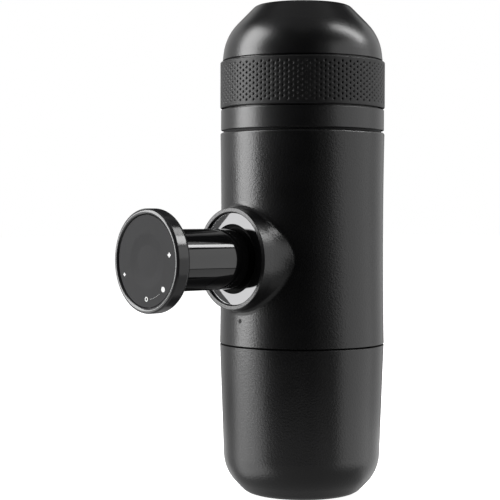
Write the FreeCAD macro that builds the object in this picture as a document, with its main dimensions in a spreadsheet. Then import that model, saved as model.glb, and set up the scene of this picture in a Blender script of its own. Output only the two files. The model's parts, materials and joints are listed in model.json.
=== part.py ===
"""Handheld manual espresso maker, in millimetres.

Frame: +Z up, origin on the body's axis at the foot of the water tank. The piston points along -Y.
Upright pieces are drawn as (radius from the body's axis, height above the foot). Pump pieces are drawn
as (radius from the pump's axis, distance from the body's axis towards the knob) and then laid down.
"""
import FreeCAD, Part
import math
import os

import Sketcher
from FreeCAD import Placement, Rotation, Vector

OUT = "parts"
NEAR = 0.01
HOLES_PER_CIRCLE = 6

SIZES = [
    # stacked heights on the body's axis
    ("tank_height", 53.6, "foot to the joint line of tank and body"),
    ("shell_height", 75.7, "that joint line to the top edge of the shell"),
    ("groove_width", 0.8, "seam between the shell and the outlet head"),
    ("band_height", 7.4, "plain band of the outlet head"),
    ("grip_gap", 0.5, "seam between the band and the grip ring"),
    ("grip_height", 16.6, "grip ring"),
    ("cup_gap", 0.5, "seam between the grip ring and the cup"),
    ("cup_height", 19.9, "cup above its joint line"),
    ("body_radius", 29.6, "outside of the body at the tank's joint line"),
    # clearances
    ("thread_gap", 0.3, "radial room in screwed and plugged joints"),
    ("running_gap", 0.05, "radial room of a running fit"),
    ("free_gap", 0.4, "room between pieces that pass each other"),
    ("seat_gap", 0.1, "room between a valve ball and its seat"),
    ("fitted_gap", 0.1, "radial room around rings that lie in a recess"),
    ("edge_break", 0.3, "small bevel on joint lines"),
    # water tank
    ("tank_top_inset", 0.05, "tank's top edge inside the body's radius"),
    ("tank_taper", 1.62, "top edge to the shoulder, inwards"),
    ("tank_dome", 7.86, "shoulder to the foot, inwards"),
    ("tank_shoulder_height", 8.15, "height of the shoulder's corner"),
    ("tank_shoulder_round", 14.6, "rounding of the shoulder"),
    ("tank_foot_round", 4.7, "rounding at the foot"),
    ("tank_inner_round", 12.0, "rounding of the shoulder, inside"),
    ("tank_wall", 2.4, "wall of the tank"),
    ("tank_floor", 3.0, "floor of the tank"),
    ("tank_neck_wall", 2.2, "wall of the neck"),
    # main shell
    ("waist_inset", 0.45, "how far the shell is waisted"),
    ("waist_share", 0.52, "height of the waist over the shell's height"),
    ("shell_top_inset", 0.1, "shell's top edge inside the body's radius"),
    ("shell_wall", 2.2, "wall at the top edge"),
    ("shell_top_round", 0.8, "rounding of the top edge"),
    ("neck_socket_inset", 3.5, "socket for the tank's neck, in from the body's radius"),
    # boss
    ("pump_rise", 31.05, "pump's axis above the tank's joint line"),
    ("boss_share", 0.601, "radius of the boss over that of the body"),
    ("boss_reach", 4.3, "how far the boss stands out beyond the body's radius"),
    ("flare_growth", 2.5, "how much the boss widens to its root"),
    ("flare_start", 0.35, "start of the flare, out from the shell's waist"),
    ("flare_sink", 0.45, "root of the flare, under the shell's surface"),
    ("boss_overlap", 1.4, "boss inside the flare's root"),
    ("boss_blend", 2.2, "fillet between boss and shell"),
    ("boss_wall", 1.6, "wall of the boss's mouth"),
    ("rim_round", 0.35, "rounding of the mouth's edges"),
    ("plate_recess", 0.9, "depth of the collar plate in the mouth"),
    ("plate_thickness", 1.0, "thickness of the collar plate"),
    ("plate_hole_room", 1.6, "hole of the collar plate, radial room to the shaft"),
    ("wiper_thickness", 2.0, "thickness of the shaft wiper"),
    ("bush_wall", 3.1, "guide bush, from the shaft to its outside"),
    ("bush_depth", 12.3, "front of the boss to the inner end of the guide bush"),
    ("vent_radius", 0.5, "air vent"),
    ("vent_drop", 1.15, "air vent below the bulkhead's top"),
    # bulkhead and frame
    ("bulkhead_thickness", 3.0, "thickness of the bulkhead"),
    ("bulkhead_gap", 0.2, "radial room of the bulkhead in the shell"),
    ("tank_seal_thickness", 1.5, "tank seal"),
    ("seal_width", 2.6, "radial width of the tank seal"),
    ("duct_inset", 5.6, "air duct's mouth, in from the bulkhead's rim"),
    ("post_share", 0.693, "circle of the frame posts over the body's radius"),
    ("post_radius", 2.0, "frame posts"),
    ("front_post_angle", 38.0, "front posts, measured from the side"),
    ("rear_post_angle", 20.0, "rear posts, measured from the side"),
    ("screw_radius", 1.1, "shank of the bulkhead screws"),
    ("screw_depth", 8.0, "length of the bulkhead screws in the posts"),
    ("screw_head_radius", 2.1, "head of the bulkhead screws"),
    ("screw_head_height", 1.4, "head of the bulkhead screws"),
    ("strainer_radius", 4.5, "inlet strainer"),
    ("strainer_height", 1.2, "inlet strainer"),
    ("strainer_pitch", 2.6, "circle of the strainer's holes"),
    # valve manifold
    ("manifold_share", 0.446, "front of the manifold behind the axis, over the body's radius"),
    ("manifold_width_share", 0.507, "half its width over the body's radius"),
    ("manifold_rise", 15.0, "top of the block above the pump's axis"),
    ("valve_inset", 3.3, "axis of the valves behind the manifold's front"),
    ("valve_bore", 2.6, "radius of the valve chambers"),
    ("throat_radius", 1.2, "radius of the valve throats and the ports"),
    ("ball_radius", 2.0, "valve balls"),
    ("inlet_seat_drop", 8.4, "inlet seat below the pump's axis"),
    ("middle_top_rise", 1.6, "top of the middle chamber above the pump's axis"),
    ("outlet_seat_rise", 3.1, "outlet seat above the pump's axis"),
    ("tube_engagement", 4.0, "brew tube in the manifold and in the group head"),
    ("tube_bore", 1.5, "inside of the brew tube"),
    ("valve_wire", 0.35, "wire of the valve springs"),
    ("valve_coil_radius", 1.7, "mean radius of the valve springs"),
    ("valve_coil_pitch", 1.0, "pitch of the valve springs"),
    # shaft and lock
    ("sleeve_share", 0.59, "radius of the shaft over that of the boss"),
    ("sleeve_wall", 1.4, "wall of the shaft"),
    ("lug_length", 2.9, "length of the locking lugs"),
    ("lug_height", 2.1, "how far the locking lugs stand out"),
    ("lug_angle", 36.0, "width of a lug"),
    ("lug_root", 0.3, "how deep a lug's root sits in the sleeve"),
    ("lug_stop", 1.1, "room between the shaft and the manifold, pushed in"),
    ("tab_angle", 40.0, "width of a tab of the lock ring"),
    ("tab_length", 2.4, "thickness of those tabs"),
    ("lock_turn", 45.0, "turn from open to locked"),
    ("lock_wall", 1.7, "wall of the lock ring"),
    # pump
    ("coil_wire", 0.9, "wire of the return spring"),
    ("coil_turns", 12.0, "turns of the return spring"),
    ("bore_share", 0.476, "bore of the pump over the shaft's radius"),
    ("barrel_wall", 1.6, "wall of the barrel"),
    ("barrel_end", 0.8, "closed end of the barrel"),
    ("barrel_flange", 1.0, "thickness of its flange on the manifold"),
    ("barrel_flange_edge", 0.5, "flange outside the return spring"),
    ("barrel_spare", 1.9, "barrel beyond the piston, pulled out"),
    ("cap_thickness", 3.0, "rod guide on the barrel's mouth"),
    ("cap_skirt", 0.3, "how far the rod guide stands out from the barrel"),
    ("rod_share", 0.6, "piston rod over the barrel's bore"),
    ("piston_length", 5.0, "length of the piston head"),
    ("piston_spare", 0.2, "room before the piston, pushed in"),
    ("ring_wire", 1.2, "thickness of the piston's O-ring"),
    ("piston_gap", 0.1, "radial room of the piston head"),
    # knob
    ("knob_clear", 0.5, "room between knob and boss, pushed in"),
    ("knob_inset", 0.3, "knob's front rim inside the boss's radius"),
    ("knob_taper", 0.05, "how much narrower the knob is at the back"),
    ("knob_thickness", 5.95, "thickness of the knob"),
    ("knob_back_round", 1.7, "rounding of the back edge"),
    ("knob_rim", 2.0, "width of the rim round the recess"),
    ("bead_share", 0.49, "rounding of the rim over its width"),
    ("face_recess", 0.62, "depth of the face disc behind the rim"),
    ("face_thickness", 1.73, "face disc"),
    ("dish_radius", 9.2, "dish in the middle of the face"),
    ("dish_floor_radius", 5.5, "flat floor of that dish"),
    ("dish_depth", 0.45, "depth of that dish"),
    ("dish_round", 8.0, "rounding of its slope"),
    ("hub_web", 1.2, "web between sleeve and screw head"),
    ("stud_step", 0.6, "rod's end in the knob, in from the rod"),
    ("shoulder_edge", 0.3, "radial room of the rod's shoulder in the shaft"),
    ("shoulder_length", 1.6, "thickness of that shoulder"),
    ("knob_screw_radius", 4.0, "head of the knob's screw"),
    ("knob_screw_head", 1.0, "head of the knob's screw"),
    ("screw_room", 0.25, "room between that head and the face disc"),
    # group head
    ("group_drop", 10.3, "underside of the group head below the shell's top"),
    ("group_floor_drop", 2.3, "top of its plate below the shell's top"),
    ("flange_inset", 1.3, "flange seen in the seam, in from the body's radius"),
    ("group_neck_inset", 3.7, "outside of the neck, in from the body's radius"),
    ("neck_bore_share", 0.7365, "inside of the neck over the body's radius"),
    ("neck_drop", 3.5, "top of the neck below the underside of the deck"),
    ("shower_edge", 0.4, "water space beyond the brew port"),
    ("shower_depth", 0.8, "depth of that space"),
    ("screen_boss_radius", 3.2, "boss that carries the screen's screw"),
    ("screen_lip", 0.6, "how far the screen rests on the plate"),
    ("screen_thickness", 0.6, "dispersion screen"),
    ("screen_screw_radius", 1.5, "shank of the screen's screw"),
    ("screen_screw_length", 5.0, "length of that shank in the plate"),
    ("screen_screw_head", 2.6, "radius of its head"),
    ("screen_head_height", 1.2, "height of its head"),
    ("gasket_thickness", 1.5, "group gasket"),
    # filter basket
    ("basket_inset", 2.3, "outside of the basket, in from the neck's bore"),
    ("basket_sheet", 0.5, "sheet of the basket"),
    ("basket_depth", 17.0, "depth of the basket"),
    ("basket_flange", 1.0, "thickness of its flange"),
    ("hole_radius", 0.45, "holes of basket, screen and strainer"),
    ("hole_pitch", 3.6, "distance between the circles of those holes"),
    # outlet head
    ("head_band_inset", 0.3, "outside of the plain band, in from the body's radius"),
    ("head_core_inset", 1.9, "core under the grip ring, in from the body's radius"),
    ("basket_headroom", 1.0, "room over the basket"),
    ("head_deck_thickness", 2.0, "deck over the basket"),
    ("head_skirt_wall", 1.5, "inner skirt that holds the basket down"),
    ("head_seal_thickness", 1.5, "seal over the neck"),
    ("spout_root_radius", 4.5, "spout at the deck"),
    ("spout_tip_radius", 3.0, "spout at its tip"),
    ("spout_bore", 1.5, "bore of the spout"),
    ("spout_height", 5.0, "height of the spout"),
    ("grip_inset", 0.05, "outside of the grip ring, in from the body's radius"),
    ("grip_bevel", 0.5, "bevel of its edges"),
    # cup and scoop
    ("cup_rim_inset", 0.87, "cup's joint line, in from the body's radius"),
    ("cup_taper", 0.97, "joint line to the shoulder, inwards"),
    ("cup_dome", 11.02, "shoulder to the flat top, inwards"),
    ("cup_shoulder_drop", 11.23, "shoulder's corner below the top"),
    ("cup_shoulder_round", 17.74, "rounding of the shoulder"),
    ("cup_top_round", 3.74, "rounding of the top edge"),
    ("cup_inner_round", 7.0, "rounding of the shoulder, inside"),
    ("cup_wall", 2.0, "wall of the cup"),
    ("cup_neck_inset", 4.5, "outside of the cup's neck, in from the body's radius"),
    ("cup_neck_wall", 1.8, "wall of the neck"),
    ("cup_gasket_thickness", 0.8, "ring under the cup's neck"),
    ("scoop_room", 0.9, "radial room of the scoop in the cup's neck"),
    ("scoop_taper", 0.4, "scoop's closed end, in from its mouth"),
    ("scoop_rise", 0.93, "scoop's closed end above the cup's shoulder"),
    ("scoop_wall", 1.1, "wall of the scoop"),
    ("scoop_round", 2.0, "rounding of the scoop's closed end"),
]


class Size:
    """A length or angle: its number, and the formula over the sheet that stands for it."""

    def __init__(self, number, formula):
        self.number = float(number)
        self.formula = formula

    def joined(self, other, sign, number):
        return Size(number, f"({self.formula} {sign} {as_size(other).formula})")

    def __add__(self, other):
        return self.joined(other, "+", self.number + as_size(other).number)

    def __sub__(self, other):
        return self.joined(other, "-", self.number - as_size(other).number)

    def __mul__(self, other):
        return self.joined(other, "*", self.number * as_size(other).number)

    def __truediv__(self, other):
        return self.joined(other, "/", self.number / as_size(other).number)

    def __neg__(self):
        return Size(-self.number, f"(0 - {self.formula})")


def as_size(item):
    return item if isinstance(item, Size) else Size(item, repr(item))


doc = FreeCAD.newDocument("EspressoMaker")
sheet = doc.addObject("Spreadsheet::Sheet", "Sizes")
for row, (alias, number, meaning) in enumerate(SIZES, start=1):
    sheet.set(f"A{row}", meaning)
    sheet.set(f"B{row}", str(number))
    sheet.setAlias(f"B{row}", alias)
doc.recompute()


class Sheet:
    """Reads a cell by its alias, as a Size."""

    def __getattr__(self, alias):
        return Size(getattr(sheet, alias), f"Sizes.{alias}")


d = Sheet()
ZERO = as_size(0)
FULL_TURN = as_size(360)

def root(size):
    return Size(math.sqrt(size.number), f"sqrt({size.formula})")


# ---------------------------------------------------------------- sizes that follow from the sheet

def follow_body():
    """Heights and radii of the shells, up to the outlet head's joint line."""
    d.tank_seam = d.tank_height
    d.shell_top = d.tank_seam + d.shell_height
    d.head_bottom = d.shell_top + d.groove_width
    d.head_band_top = d.head_bottom + d.band_height
    d.grip_bottom = d.head_band_top + d.grip_gap
    d.grip_top = d.grip_bottom + d.grip_height
    d.cup_seam = d.grip_top + d.cup_gap
    d.total_height = d.cup_seam + d.cup_height
    d.tank_top_radius = d.body_radius - d.tank_top_inset
    d.tank_shoulder_radius = d.tank_top_radius - d.tank_taper
    d.tank_foot_radius = d.tank_shoulder_radius - d.tank_dome
    d.waist_radius = d.body_radius - d.waist_inset
    d.waist_height = d.tank_seam + d.shell_height * d.waist_share
    d.shell_top_radius = d.body_radius - d.shell_top_inset
    d.shell_bore = d.shell_top_radius - d.shell_wall
    d.neck_socket_radius = d.body_radius - d.neck_socket_inset


def follow_boss():
    """The boss, its flare, and what it leaves room for below."""
    d.pump_height = d.tank_seam + d.pump_rise
    d.boss_radius = d.body_radius * d.boss_share
    d.boss_front = d.body_radius + d.boss_reach
    d.flare_root = d.boss_radius + d.flare_growth
    d.flare_top = d.waist_radius + d.flare_start
    surface = root(d.waist_radius * d.waist_radius - d.flare_root * d.flare_root)
    d.flare_end = surface - d.flare_sink
    run = d.flare_top - d.flare_end
    d.flare_radius = (run * run + d.flare_growth * d.flare_growth) / d.flare_growth / 2
    d.boss_back = d.flare_end - d.boss_overlap
    d.mouth_radius = d.boss_radius - d.boss_wall
    d.plate_front = d.boss_front - d.plate_recess
    d.plate_back = d.plate_front - d.plate_thickness
    d.bulkhead_radius = d.shell_bore - d.bulkhead_gap
    d.bulkhead_top = d.pump_height - d.flare_root - d.free_gap
    d.ledge_height = d.bulkhead_top - d.bulkhead_thickness
    d.vent_height = d.bulkhead_top - d.vent_drop
    d.tank_neck_top = d.ledge_height - d.tank_seal_thickness
    d.post_circle = d.body_radius * d.post_share


def follow_pump():
    """Shaft, lock, spring, barrel and piston, from the boss inwards, and the knob's place."""
    d.sleeve_radius = d.boss_radius * d.sleeve_share
    d.sleeve_bore = d.sleeve_radius - d.sleeve_wall
    d.bush_radius = d.sleeve_radius + d.bush_wall
    d.plate_hole_radius = d.sleeve_radius + d.plate_hole_room
    d.bush_back = d.boss_front - d.bush_depth
    d.lug_radius = d.sleeve_radius + d.lug_height
    d.lug_front = d.bush_back - d.thread_gap
    d.sleeve_back = d.lug_front - d.lug_length
    d.manifold_front = d.body_radius * d.manifold_share
    d.manifold_half_width = d.body_radius * d.manifold_width_share
    d.valve_offset = d.manifold_front + d.valve_inset
    d.stroke = d.sleeve_back + d.manifold_front - d.lug_stop
    d.barrel_bore = d.sleeve_radius * d.bore_share
    d.barrel_outer = d.barrel_bore + d.barrel_wall
    d.coil_radius = (d.sleeve_bore + d.barrel_outer) / 2
    d.barrel_flange_radius = d.coil_radius + d.coil_wire / 2 + d.barrel_flange_edge
    d.piston_face = d.stroke - d.manifold_front + d.barrel_end + d.piston_spare
    d.barrel_mouth = d.piston_face + d.piston_length + d.barrel_spare
    d.rod_radius = d.barrel_bore * d.rod_share
    d.stud_radius = d.rod_radius - d.stud_step
    d.shoulder_radius = d.sleeve_bore - d.shoulder_edge


def follow_knob():
    """The knob, which stops just before the boss when it is pushed in."""
    d.knob_radius = d.boss_radius - d.knob_inset
    d.knob_back_radius = d.knob_radius - d.knob_taper
    d.knob_back = d.boss_front + d.stroke + d.knob_clear
    d.knob_front = d.knob_back + d.knob_thickness
    d.face_radius = d.knob_radius - d.knob_rim
    d.bead_round = d.knob_rim * d.bead_share
    d.face_top = d.knob_front - d.face_recess
    d.face_floor = d.face_top - d.face_thickness
    d.screw_seat = d.face_floor - d.screw_room - d.knob_screw_head
    d.hub_floor = d.screw_seat - d.hub_web


def follow_head():
    """Group head, basket and outlet head, from the shell's top edge up."""
    d.group_bottom = d.shell_top - d.group_drop
    d.group_floor = d.shell_top - d.group_floor_drop
    d.flange_radius = d.body_radius - d.flange_inset
    d.group_neck_radius = d.body_radius - d.group_neck_inset
    d.group_neck_bore = d.body_radius * d.neck_bore_share
    d.shower_radius = d.valve_offset + d.throat_radius + d.shower_edge
    d.screen_radius = d.shower_radius + d.screen_lip
    d.gasket_top = d.group_floor + d.gasket_thickness
    d.basket_radius = d.group_neck_bore - d.basket_inset
    d.basket_end = d.gasket_top + d.basket_depth
    d.deck_bottom = d.basket_end + d.basket_sheet + d.basket_headroom
    d.head_deck = d.deck_bottom + d.head_deck_thickness
    d.group_neck_top = d.deck_bottom - d.neck_drop
    d.head_band_radius = d.body_radius - d.head_band_inset
    d.head_core_radius = d.body_radius - d.head_core_inset
    d.grip_radius = d.body_radius - d.grip_inset


def follow_cup():
    """Cup and scoop, in and on the outlet head."""
    d.cup_rim_radius = d.body_radius - d.cup_rim_inset
    d.cup_shoulder_radius = d.cup_rim_radius - d.cup_taper
    d.cup_top_radius = d.cup_shoulder_radius - d.cup_dome
    d.cup_shoulder = d.total_height - d.cup_shoulder_drop
    d.cup_neck_radius = d.body_radius - d.cup_neck_inset
    d.cup_neck_bore = d.cup_neck_radius - d.cup_neck_wall
    d.scoop_radius = d.cup_neck_bore - d.scoop_room
    d.scoop_top_radius = d.scoop_radius - d.scoop_taper
    d.scoop_top = d.cup_shoulder + d.scoop_rise


follow_body()
follow_boss()
follow_pump()
follow_knob()
follow_head()
follow_cup()


# ---------------------------------------------------------------- building blocks

def bind(thing, prop, size):
    """Ties one property of an object to its formula."""
    thing.setExpression(prop, size.formula)


def origin_plane(body, role):
    for feature in body.Origin.OriginFeatures:
        if feature.Role == role:
            return feature
    raise ValueError(role)


def start_sketch(body, name, role, offset=ZERO):
    """A sketch on one of the body's origin planes, or parallel to it at an offset along its normal."""
    sketch = body.newObject("Sketcher::SketchObject", name)
    sketch.AttachmentSupport = [(origin_plane(body, role), "")]
    sketch.MapMode = "FlatFace"
    bind(sketch, ".AttachmentOffset.Base.z", offset)
    return sketch


def pin_point(sketch, geometry, end, x, y):
    """Fixes one point of the sketch at (x, y) from its origin."""
    for kind, size in (("DistanceX", x), ("DistanceY", y)):
        index = sketch.addConstraint(Sketcher.Constraint(kind, -1, 1, geometry, end, size.number))
        bind(sketch, f"Constraints[{index}]", size)


def flat(x, y):
    return Vector(x.number, y.number, 0)


def arc_ends(sketch, geometry, start):
    """The arc's end numbers, the one at the point start first."""
    if sketch.getPoint(geometry, 1).distanceToPoint(start) < NEAR:
        return 1, 2
    return 2, 1


def outline(sketch, corners):
    """Draws a closed outline through the corners. A corner is (x, y), or (x, y, (x, y)) where the line
    that leaves it is an arc through the second point."""
    ends = []
    for number, corner in enumerate(corners):
        following = corners[(number + 1) % len(corners)]
        here = flat(corner[0], corner[1])
        there = flat(following[0], following[1])
        if len(corner) == 2:
            geometry = sketch.addGeometry(Part.LineSegment(here, there), False)
            ends.append((geometry, 1, 2))
        else:
            middle = flat(*corner[2])
            geometry = sketch.addGeometry(Part.Arc(here, middle, there), False)
            ends.append((geometry, *arc_ends(sketch, geometry, here)))
            point = sketch.addGeometry(Part.Point(middle), True)
            pin_point(sketch, point, 1, *corner[2])
            sketch.addConstraint(Sketcher.Constraint("PointOnObject", point, 1, geometry))
    for number, (geometry, start, end) in enumerate(ends):
        following = ends[(number + 1) % len(ends)]
        sketch.addConstraint(Sketcher.Constraint("Coincident", geometry, end, following[0], following[1]))
        pin_point(sketch, geometry, start, *corners[number][:2])
    return sketch


def add_axis(sketch, start, end):
    """A construction line in the sketch, to turn its outline about."""
    line = sketch.addGeometry(Part.LineSegment(flat(*start), flat(*end)), True)
    pin_point(sketch, line, 1, *start)
    pin_point(sketch, line, 2, *end)


def new_body(label):
    body = doc.addObject("PartDesign::Body", label)
    body.Label = label
    return body


def turn(body, sketch, axis="V_Axis", cut=False, angle=FULL_TURN, centred=False):
    """Turns a sketch about its upright axis, or about its own construction line."""
    kind = "PartDesign::Groove" if cut else "PartDesign::Revolution"
    feature = body.newObject(kind, sketch.Name + "_turned")
    feature.Profile = sketch
    feature.ReferenceAxis = (sketch, [axis])
    feature.Midplane = centred
    bind(feature, "Angle", angle)
    sketch.Visibility = False
    body.Tip = feature
    doc.recompute()
    return feature


def turned(label, corners):
    """A body turned about its own Z axis from (radius, height) corners."""
    body = new_body(label)
    turn(body, outline(start_sketch(body, label + "_outline", "XZ_Plane"), corners))
    return body


def rings(feature, *spots):
    """Names of the circular edges that pass through the (radius, height) spots of a turned feature."""
    names = []
    for number, edge in enumerate(feature.Shape.Edges, start=1):
        if not isinstance(edge.Curve, Part.Circle):
            continue
        for radius, height in spots:
            same_radius = abs(edge.Curve.Radius - radius.number) < NEAR
            if same_radius and abs(edge.Curve.Center.z - height.number) < NEAR:
                names.append(f"Edge{number}")
    return names


def dress(body, kind, prop, size, edges):
    """Rounds or bevels edges of the body's last feature."""
    base = body.Tip
    feature = body.newObject("PartDesign::" + kind, f"{body.Name}_{kind}")
    feature.Base = (base, edges)
    bind(feature, prop, size)
    body.Tip = feature
    doc.recompute()
    return feature


def round_rings(body, size, *spots):
    return dress(body, "Fillet", "Radius", size, rings(body.Tip, *spots))


def bevel_rings(body, size, *spots):
    return dress(body, "Chamfer", "Size", size, rings(body.Tip, *spots))


def lay_on_pump_axis(thing):
    """Turns the piece's +Z to -Y and lifts it to the pump's axis."""
    thing.Placement = Placement(Vector(0, 0, d.pump_height.number), Rotation(Vector(1, 0, 0), 90))
    bind(thing, ".Placement.Base.z", d.pump_height)
    return thing


def ring_of(label, inner, outer, bottom, top):
    """A plain ring or tube between two radii and two heights."""
    return turned(label, [(inner, bottom), (outer, bottom), (outer, top), (inner, top)])


def drill(body, name, role, x, y, radius, depth, reverse=False, offset=ZERO):
    """A round pocket from a plane parallel to an origin plane, checked to have cut something."""
    sketch = start_sketch(body, name, role, offset)
    circle = sketch.addGeometry(Part.Circle(flat(x, y), Vector(0, 0, 1), radius.number), False)
    pin_point(sketch, circle, 3, x, y)
    index = sketch.addConstraint(Sketcher.Constraint("Radius", circle, radius.number))
    bind(sketch, f"Constraints[{index}]", radius)
    before = len(body.Tip.Shape.Faces)
    pocket = body.newObject("PartDesign::Pocket", name + "_hole")
    pocket.Profile = sketch
    pocket.Reversed = reverse
    bind(pocket, "Length", depth)
    sketch.Visibility = False
    body.Tip = pocket
    doc.recompute()
    if not len(pocket.Shape.Faces) > before:
        raise ValueError(f"{name} cuts nothing")
    return pocket


def around(body, feature, name, count):
    """Repeats the body's last feature evenly about its Z axis."""
    pattern = body.newObject("PartDesign::PolarPattern", name)
    pattern.Originals = [feature]
    pattern.Axis = (origin_plane(body, "Z_Axis"), [""])
    pattern.Angle = FULL_TURN.number
    pattern.Occurrences = count
    body.Tip = pattern
    doc.recompute()
    return pattern


def hole_circles(body, name, numbers, pitch, depth):
    """Circles of small holes from below: six holes on the first circle, six more on each next one."""
    for number in numbers:
        hole = drill(body, f"{name}{number}", "XY_Plane", ZERO, pitch * number, d.hole_radius, depth,
                     reverse=True)
        around(body, hole, f"{name}_circle{number}", HOLES_PER_CIRCLE * number)


def coil(label, radius, wire, bottom, top, turns):
    """A round wire wound about the body's Z axis between two heights."""
    body = new_body(label)
    sketch = start_sketch(body, label + "_wire", "XZ_Plane")
    start = bottom + wire / 2
    circle = sketch.addGeometry(Part.Circle(flat(radius, start), Vector(0, 0, 1), wire.number / 2), False)
    pin_point(sketch, circle, 3, radius, start)
    index = sketch.addConstraint(Sketcher.Constraint("Diameter", circle, wire.number))
    bind(sketch, f"Constraints[{index}]", wire)
    helix = body.newObject("PartDesign::AdditiveHelix", label + "_helix")
    helix.Profile = sketch
    helix.ReferenceAxis = (sketch, ["V_Axis"])
    helix.Mode = "height-turns-angle"
    bind(helix, "Height", top - bottom - wire)
    bind(helix, "Turns", turns)
    sketch.Visibility = False
    body.Tip = helix
    doc.recompute()
    return body


def primitive(kind, name, place, **sizes):
    """A Part primitive with its sizes and its place (x, y, z) tied to the sheet."""
    solid = doc.addObject(kind, name)
    for prop, size in sizes.items():
        bind(solid, prop, size)
    for letter, size in zip("xyz", place):
        bind(solid, f".Placement.Base.{letter}", size)
    return solid


# ---------------------------------------------------------------- water tank

def water_tank():
    """Open-topped tank with a domed shoulder, a flat foot and a plain neck that plugs into the shell."""
    neck_radius = d.neck_socket_radius - d.thread_gap
    neck_bore = neck_radius - d.tank_neck_wall
    inside_shoulder = d.tank_shoulder_radius - d.tank_wall
    inside_foot = d.tank_foot_radius - d.tank_wall / 2
    body = turned("water_tank", [
        (ZERO, ZERO),
        (d.tank_foot_radius, ZERO),
        (d.tank_shoulder_radius, d.tank_shoulder_height),
        (d.tank_top_radius, d.tank_seam),
        (neck_radius, d.tank_seam),
        (neck_radius, d.tank_neck_top),
        (neck_bore, d.tank_neck_top),
        (neck_bore, d.tank_seam - d.tank_wall),
        (d.tank_top_radius - d.tank_wall, d.tank_seam - d.tank_wall * 2),
        (inside_shoulder, d.tank_shoulder_height + d.tank_wall / 2),
        (inside_foot, d.tank_floor),
        (ZERO, d.tank_floor),
    ])
    round_rings(body, d.tank_shoulder_round, (d.tank_shoulder_radius, d.tank_shoulder_height))
    round_rings(body, d.tank_foot_round, (d.tank_foot_radius, ZERO))
    round_rings(body, d.tank_inner_round, (inside_shoulder, d.tank_shoulder_height + d.tank_wall / 2))
    bevel_rings(body, d.edge_break, (d.tank_top_radius, d.tank_seam))
    return body


# ---------------------------------------------------------------- main shell

def pump_line_sketch(body, name, corners):
    """An outline beside the pump's axis, on the plane of symmetry, with that axis to turn it about.
    The corners are (radius from the pump's axis, distance from the body's axis towards the knob)."""
    sketch = start_sketch(body, name, "YZ_Plane")
    placed = []
    for corner in corners:
        radius, distance = corner[:2]
        point = (-distance, d.pump_height + radius)
        if len(corner) == 3:
            point += ((-corner[2][1], d.pump_height + corner[2][0]),)
        placed.append(point)
    outline(sketch, placed)
    add_axis(sketch, (ZERO, d.pump_height), (-d.boss_front, d.pump_height))
    return sketch


def blend_edges(feature):
    """Names of the long edges where the boss leaves the shell: outside, in front of the boss's back."""
    names = []
    widest = d.body_radius.number + NEAR
    narrowest = d.waist_radius.number - NEAR
    for number, edge in enumerate(feature.Shape.Edges, start=1):
        points = edge.discretize(9)
        on_shell = all(narrowest < math.hypot(p.x, p.y) < widest for p in points)
        in_front = all(p.y < -d.boss_back.number for p in points)
        if on_shell and in_front and edge.Length > d.boss_radius.number:
            names.append(f"Edge{number}")
    return names


def main_shell():
    """Waisted tube with the flared boss for the piston, its stepped bore and the air vent."""
    body = turned("main_shell", [
        (d.neck_socket_radius, d.tank_seam),
        (d.body_radius, d.tank_seam, (d.waist_radius, d.waist_height)),
        (d.shell_top_radius, d.shell_top),
        (d.shell_bore, d.shell_top),
        (d.shell_bore, d.ledge_height),
        (d.neck_socket_radius, d.ledge_height),
    ])
    drill(body, "air_vent", "XZ_Plane", ZERO, d.vent_height, d.vent_radius,
          d.body_radius - d.shell_bore + d.free_gap * 2, reverse=True, offset=d.shell_bore - d.free_gap)
    round_rings(body, d.shell_top_round, (d.shell_top_radius, d.shell_top))
    bevel_rings(body, d.edge_break, (d.body_radius, d.tank_seam))
    half_run = (d.flare_top - d.flare_end) / 2
    swell = d.flare_radius - root(d.flare_radius * d.flare_radius - half_run * half_run)
    turn(body, pump_line_sketch(body, "boss_outline", [
        (ZERO, d.boss_front),
        (d.boss_radius, d.boss_front),
        (d.boss_radius, d.flare_top, (d.boss_radius + swell, d.flare_top - half_run)),
        (d.flare_root, d.flare_end),
        (d.flare_root, d.boss_back),
        (ZERO, d.boss_back),
    ]), axis="Axis0")
    dress(body, "Fillet", "Radius", d.boss_blend, blend_edges(body.Tip))
    turn(body, pump_line_sketch(body, "boss_bore", [
        (ZERO, d.boss_front + d.free_gap),
        (d.mouth_radius, d.boss_front + d.free_gap),
        (d.mouth_radius, d.plate_back),
        (d.bush_radius, d.plate_back),
        (d.bush_radius, d.boss_back - d.free_gap),
        (ZERO, d.boss_back - d.free_gap),
    ]), axis="Axis0", cut=True)
    front = -d.boss_front.number
    lips = [f"Edge{number}" for number, edge in enumerate(body.Tip.Shape.Edges, start=1)
            if isinstance(edge.Curve, Part.Circle) and abs(edge.Curve.Center.y - front) < NEAR]
    dress(body, "Fillet", "Radius", d.rim_round, lips)
    return body


# ---------------------------------------------------------------- boss fittings

def collar_plate():
    """Flat polished ring that lies in the boss's mouth."""
    outer = d.mouth_radius - d.fitted_gap
    body = ring_of("collar_plate", d.plate_hole_radius, outer, d.plate_back, d.plate_front)
    bevel_rings(body, d.edge_break, (outer, d.plate_front))
    return lay_on_pump_axis(body)


def shaft_wiper():
    """Rubber ring behind the plate, with a lip on the shaft."""
    return lay_on_pump_axis(ring_of("shaft_wiper", d.sleeve_radius + d.running_gap, d.bush_radius,
                                    d.plate_back - d.wiper_thickness, d.plate_back))


def guide_bush():
    """Plain bearing that carries the shaft in the boss."""
    return lay_on_pump_axis(ring_of("guide_bush", d.sleeve_radius + d.running_gap, d.bush_radius,
                                    d.bush_back, d.plate_back - d.wiper_thickness))


# ---------------------------------------------------------------- bulkhead and frame

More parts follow.
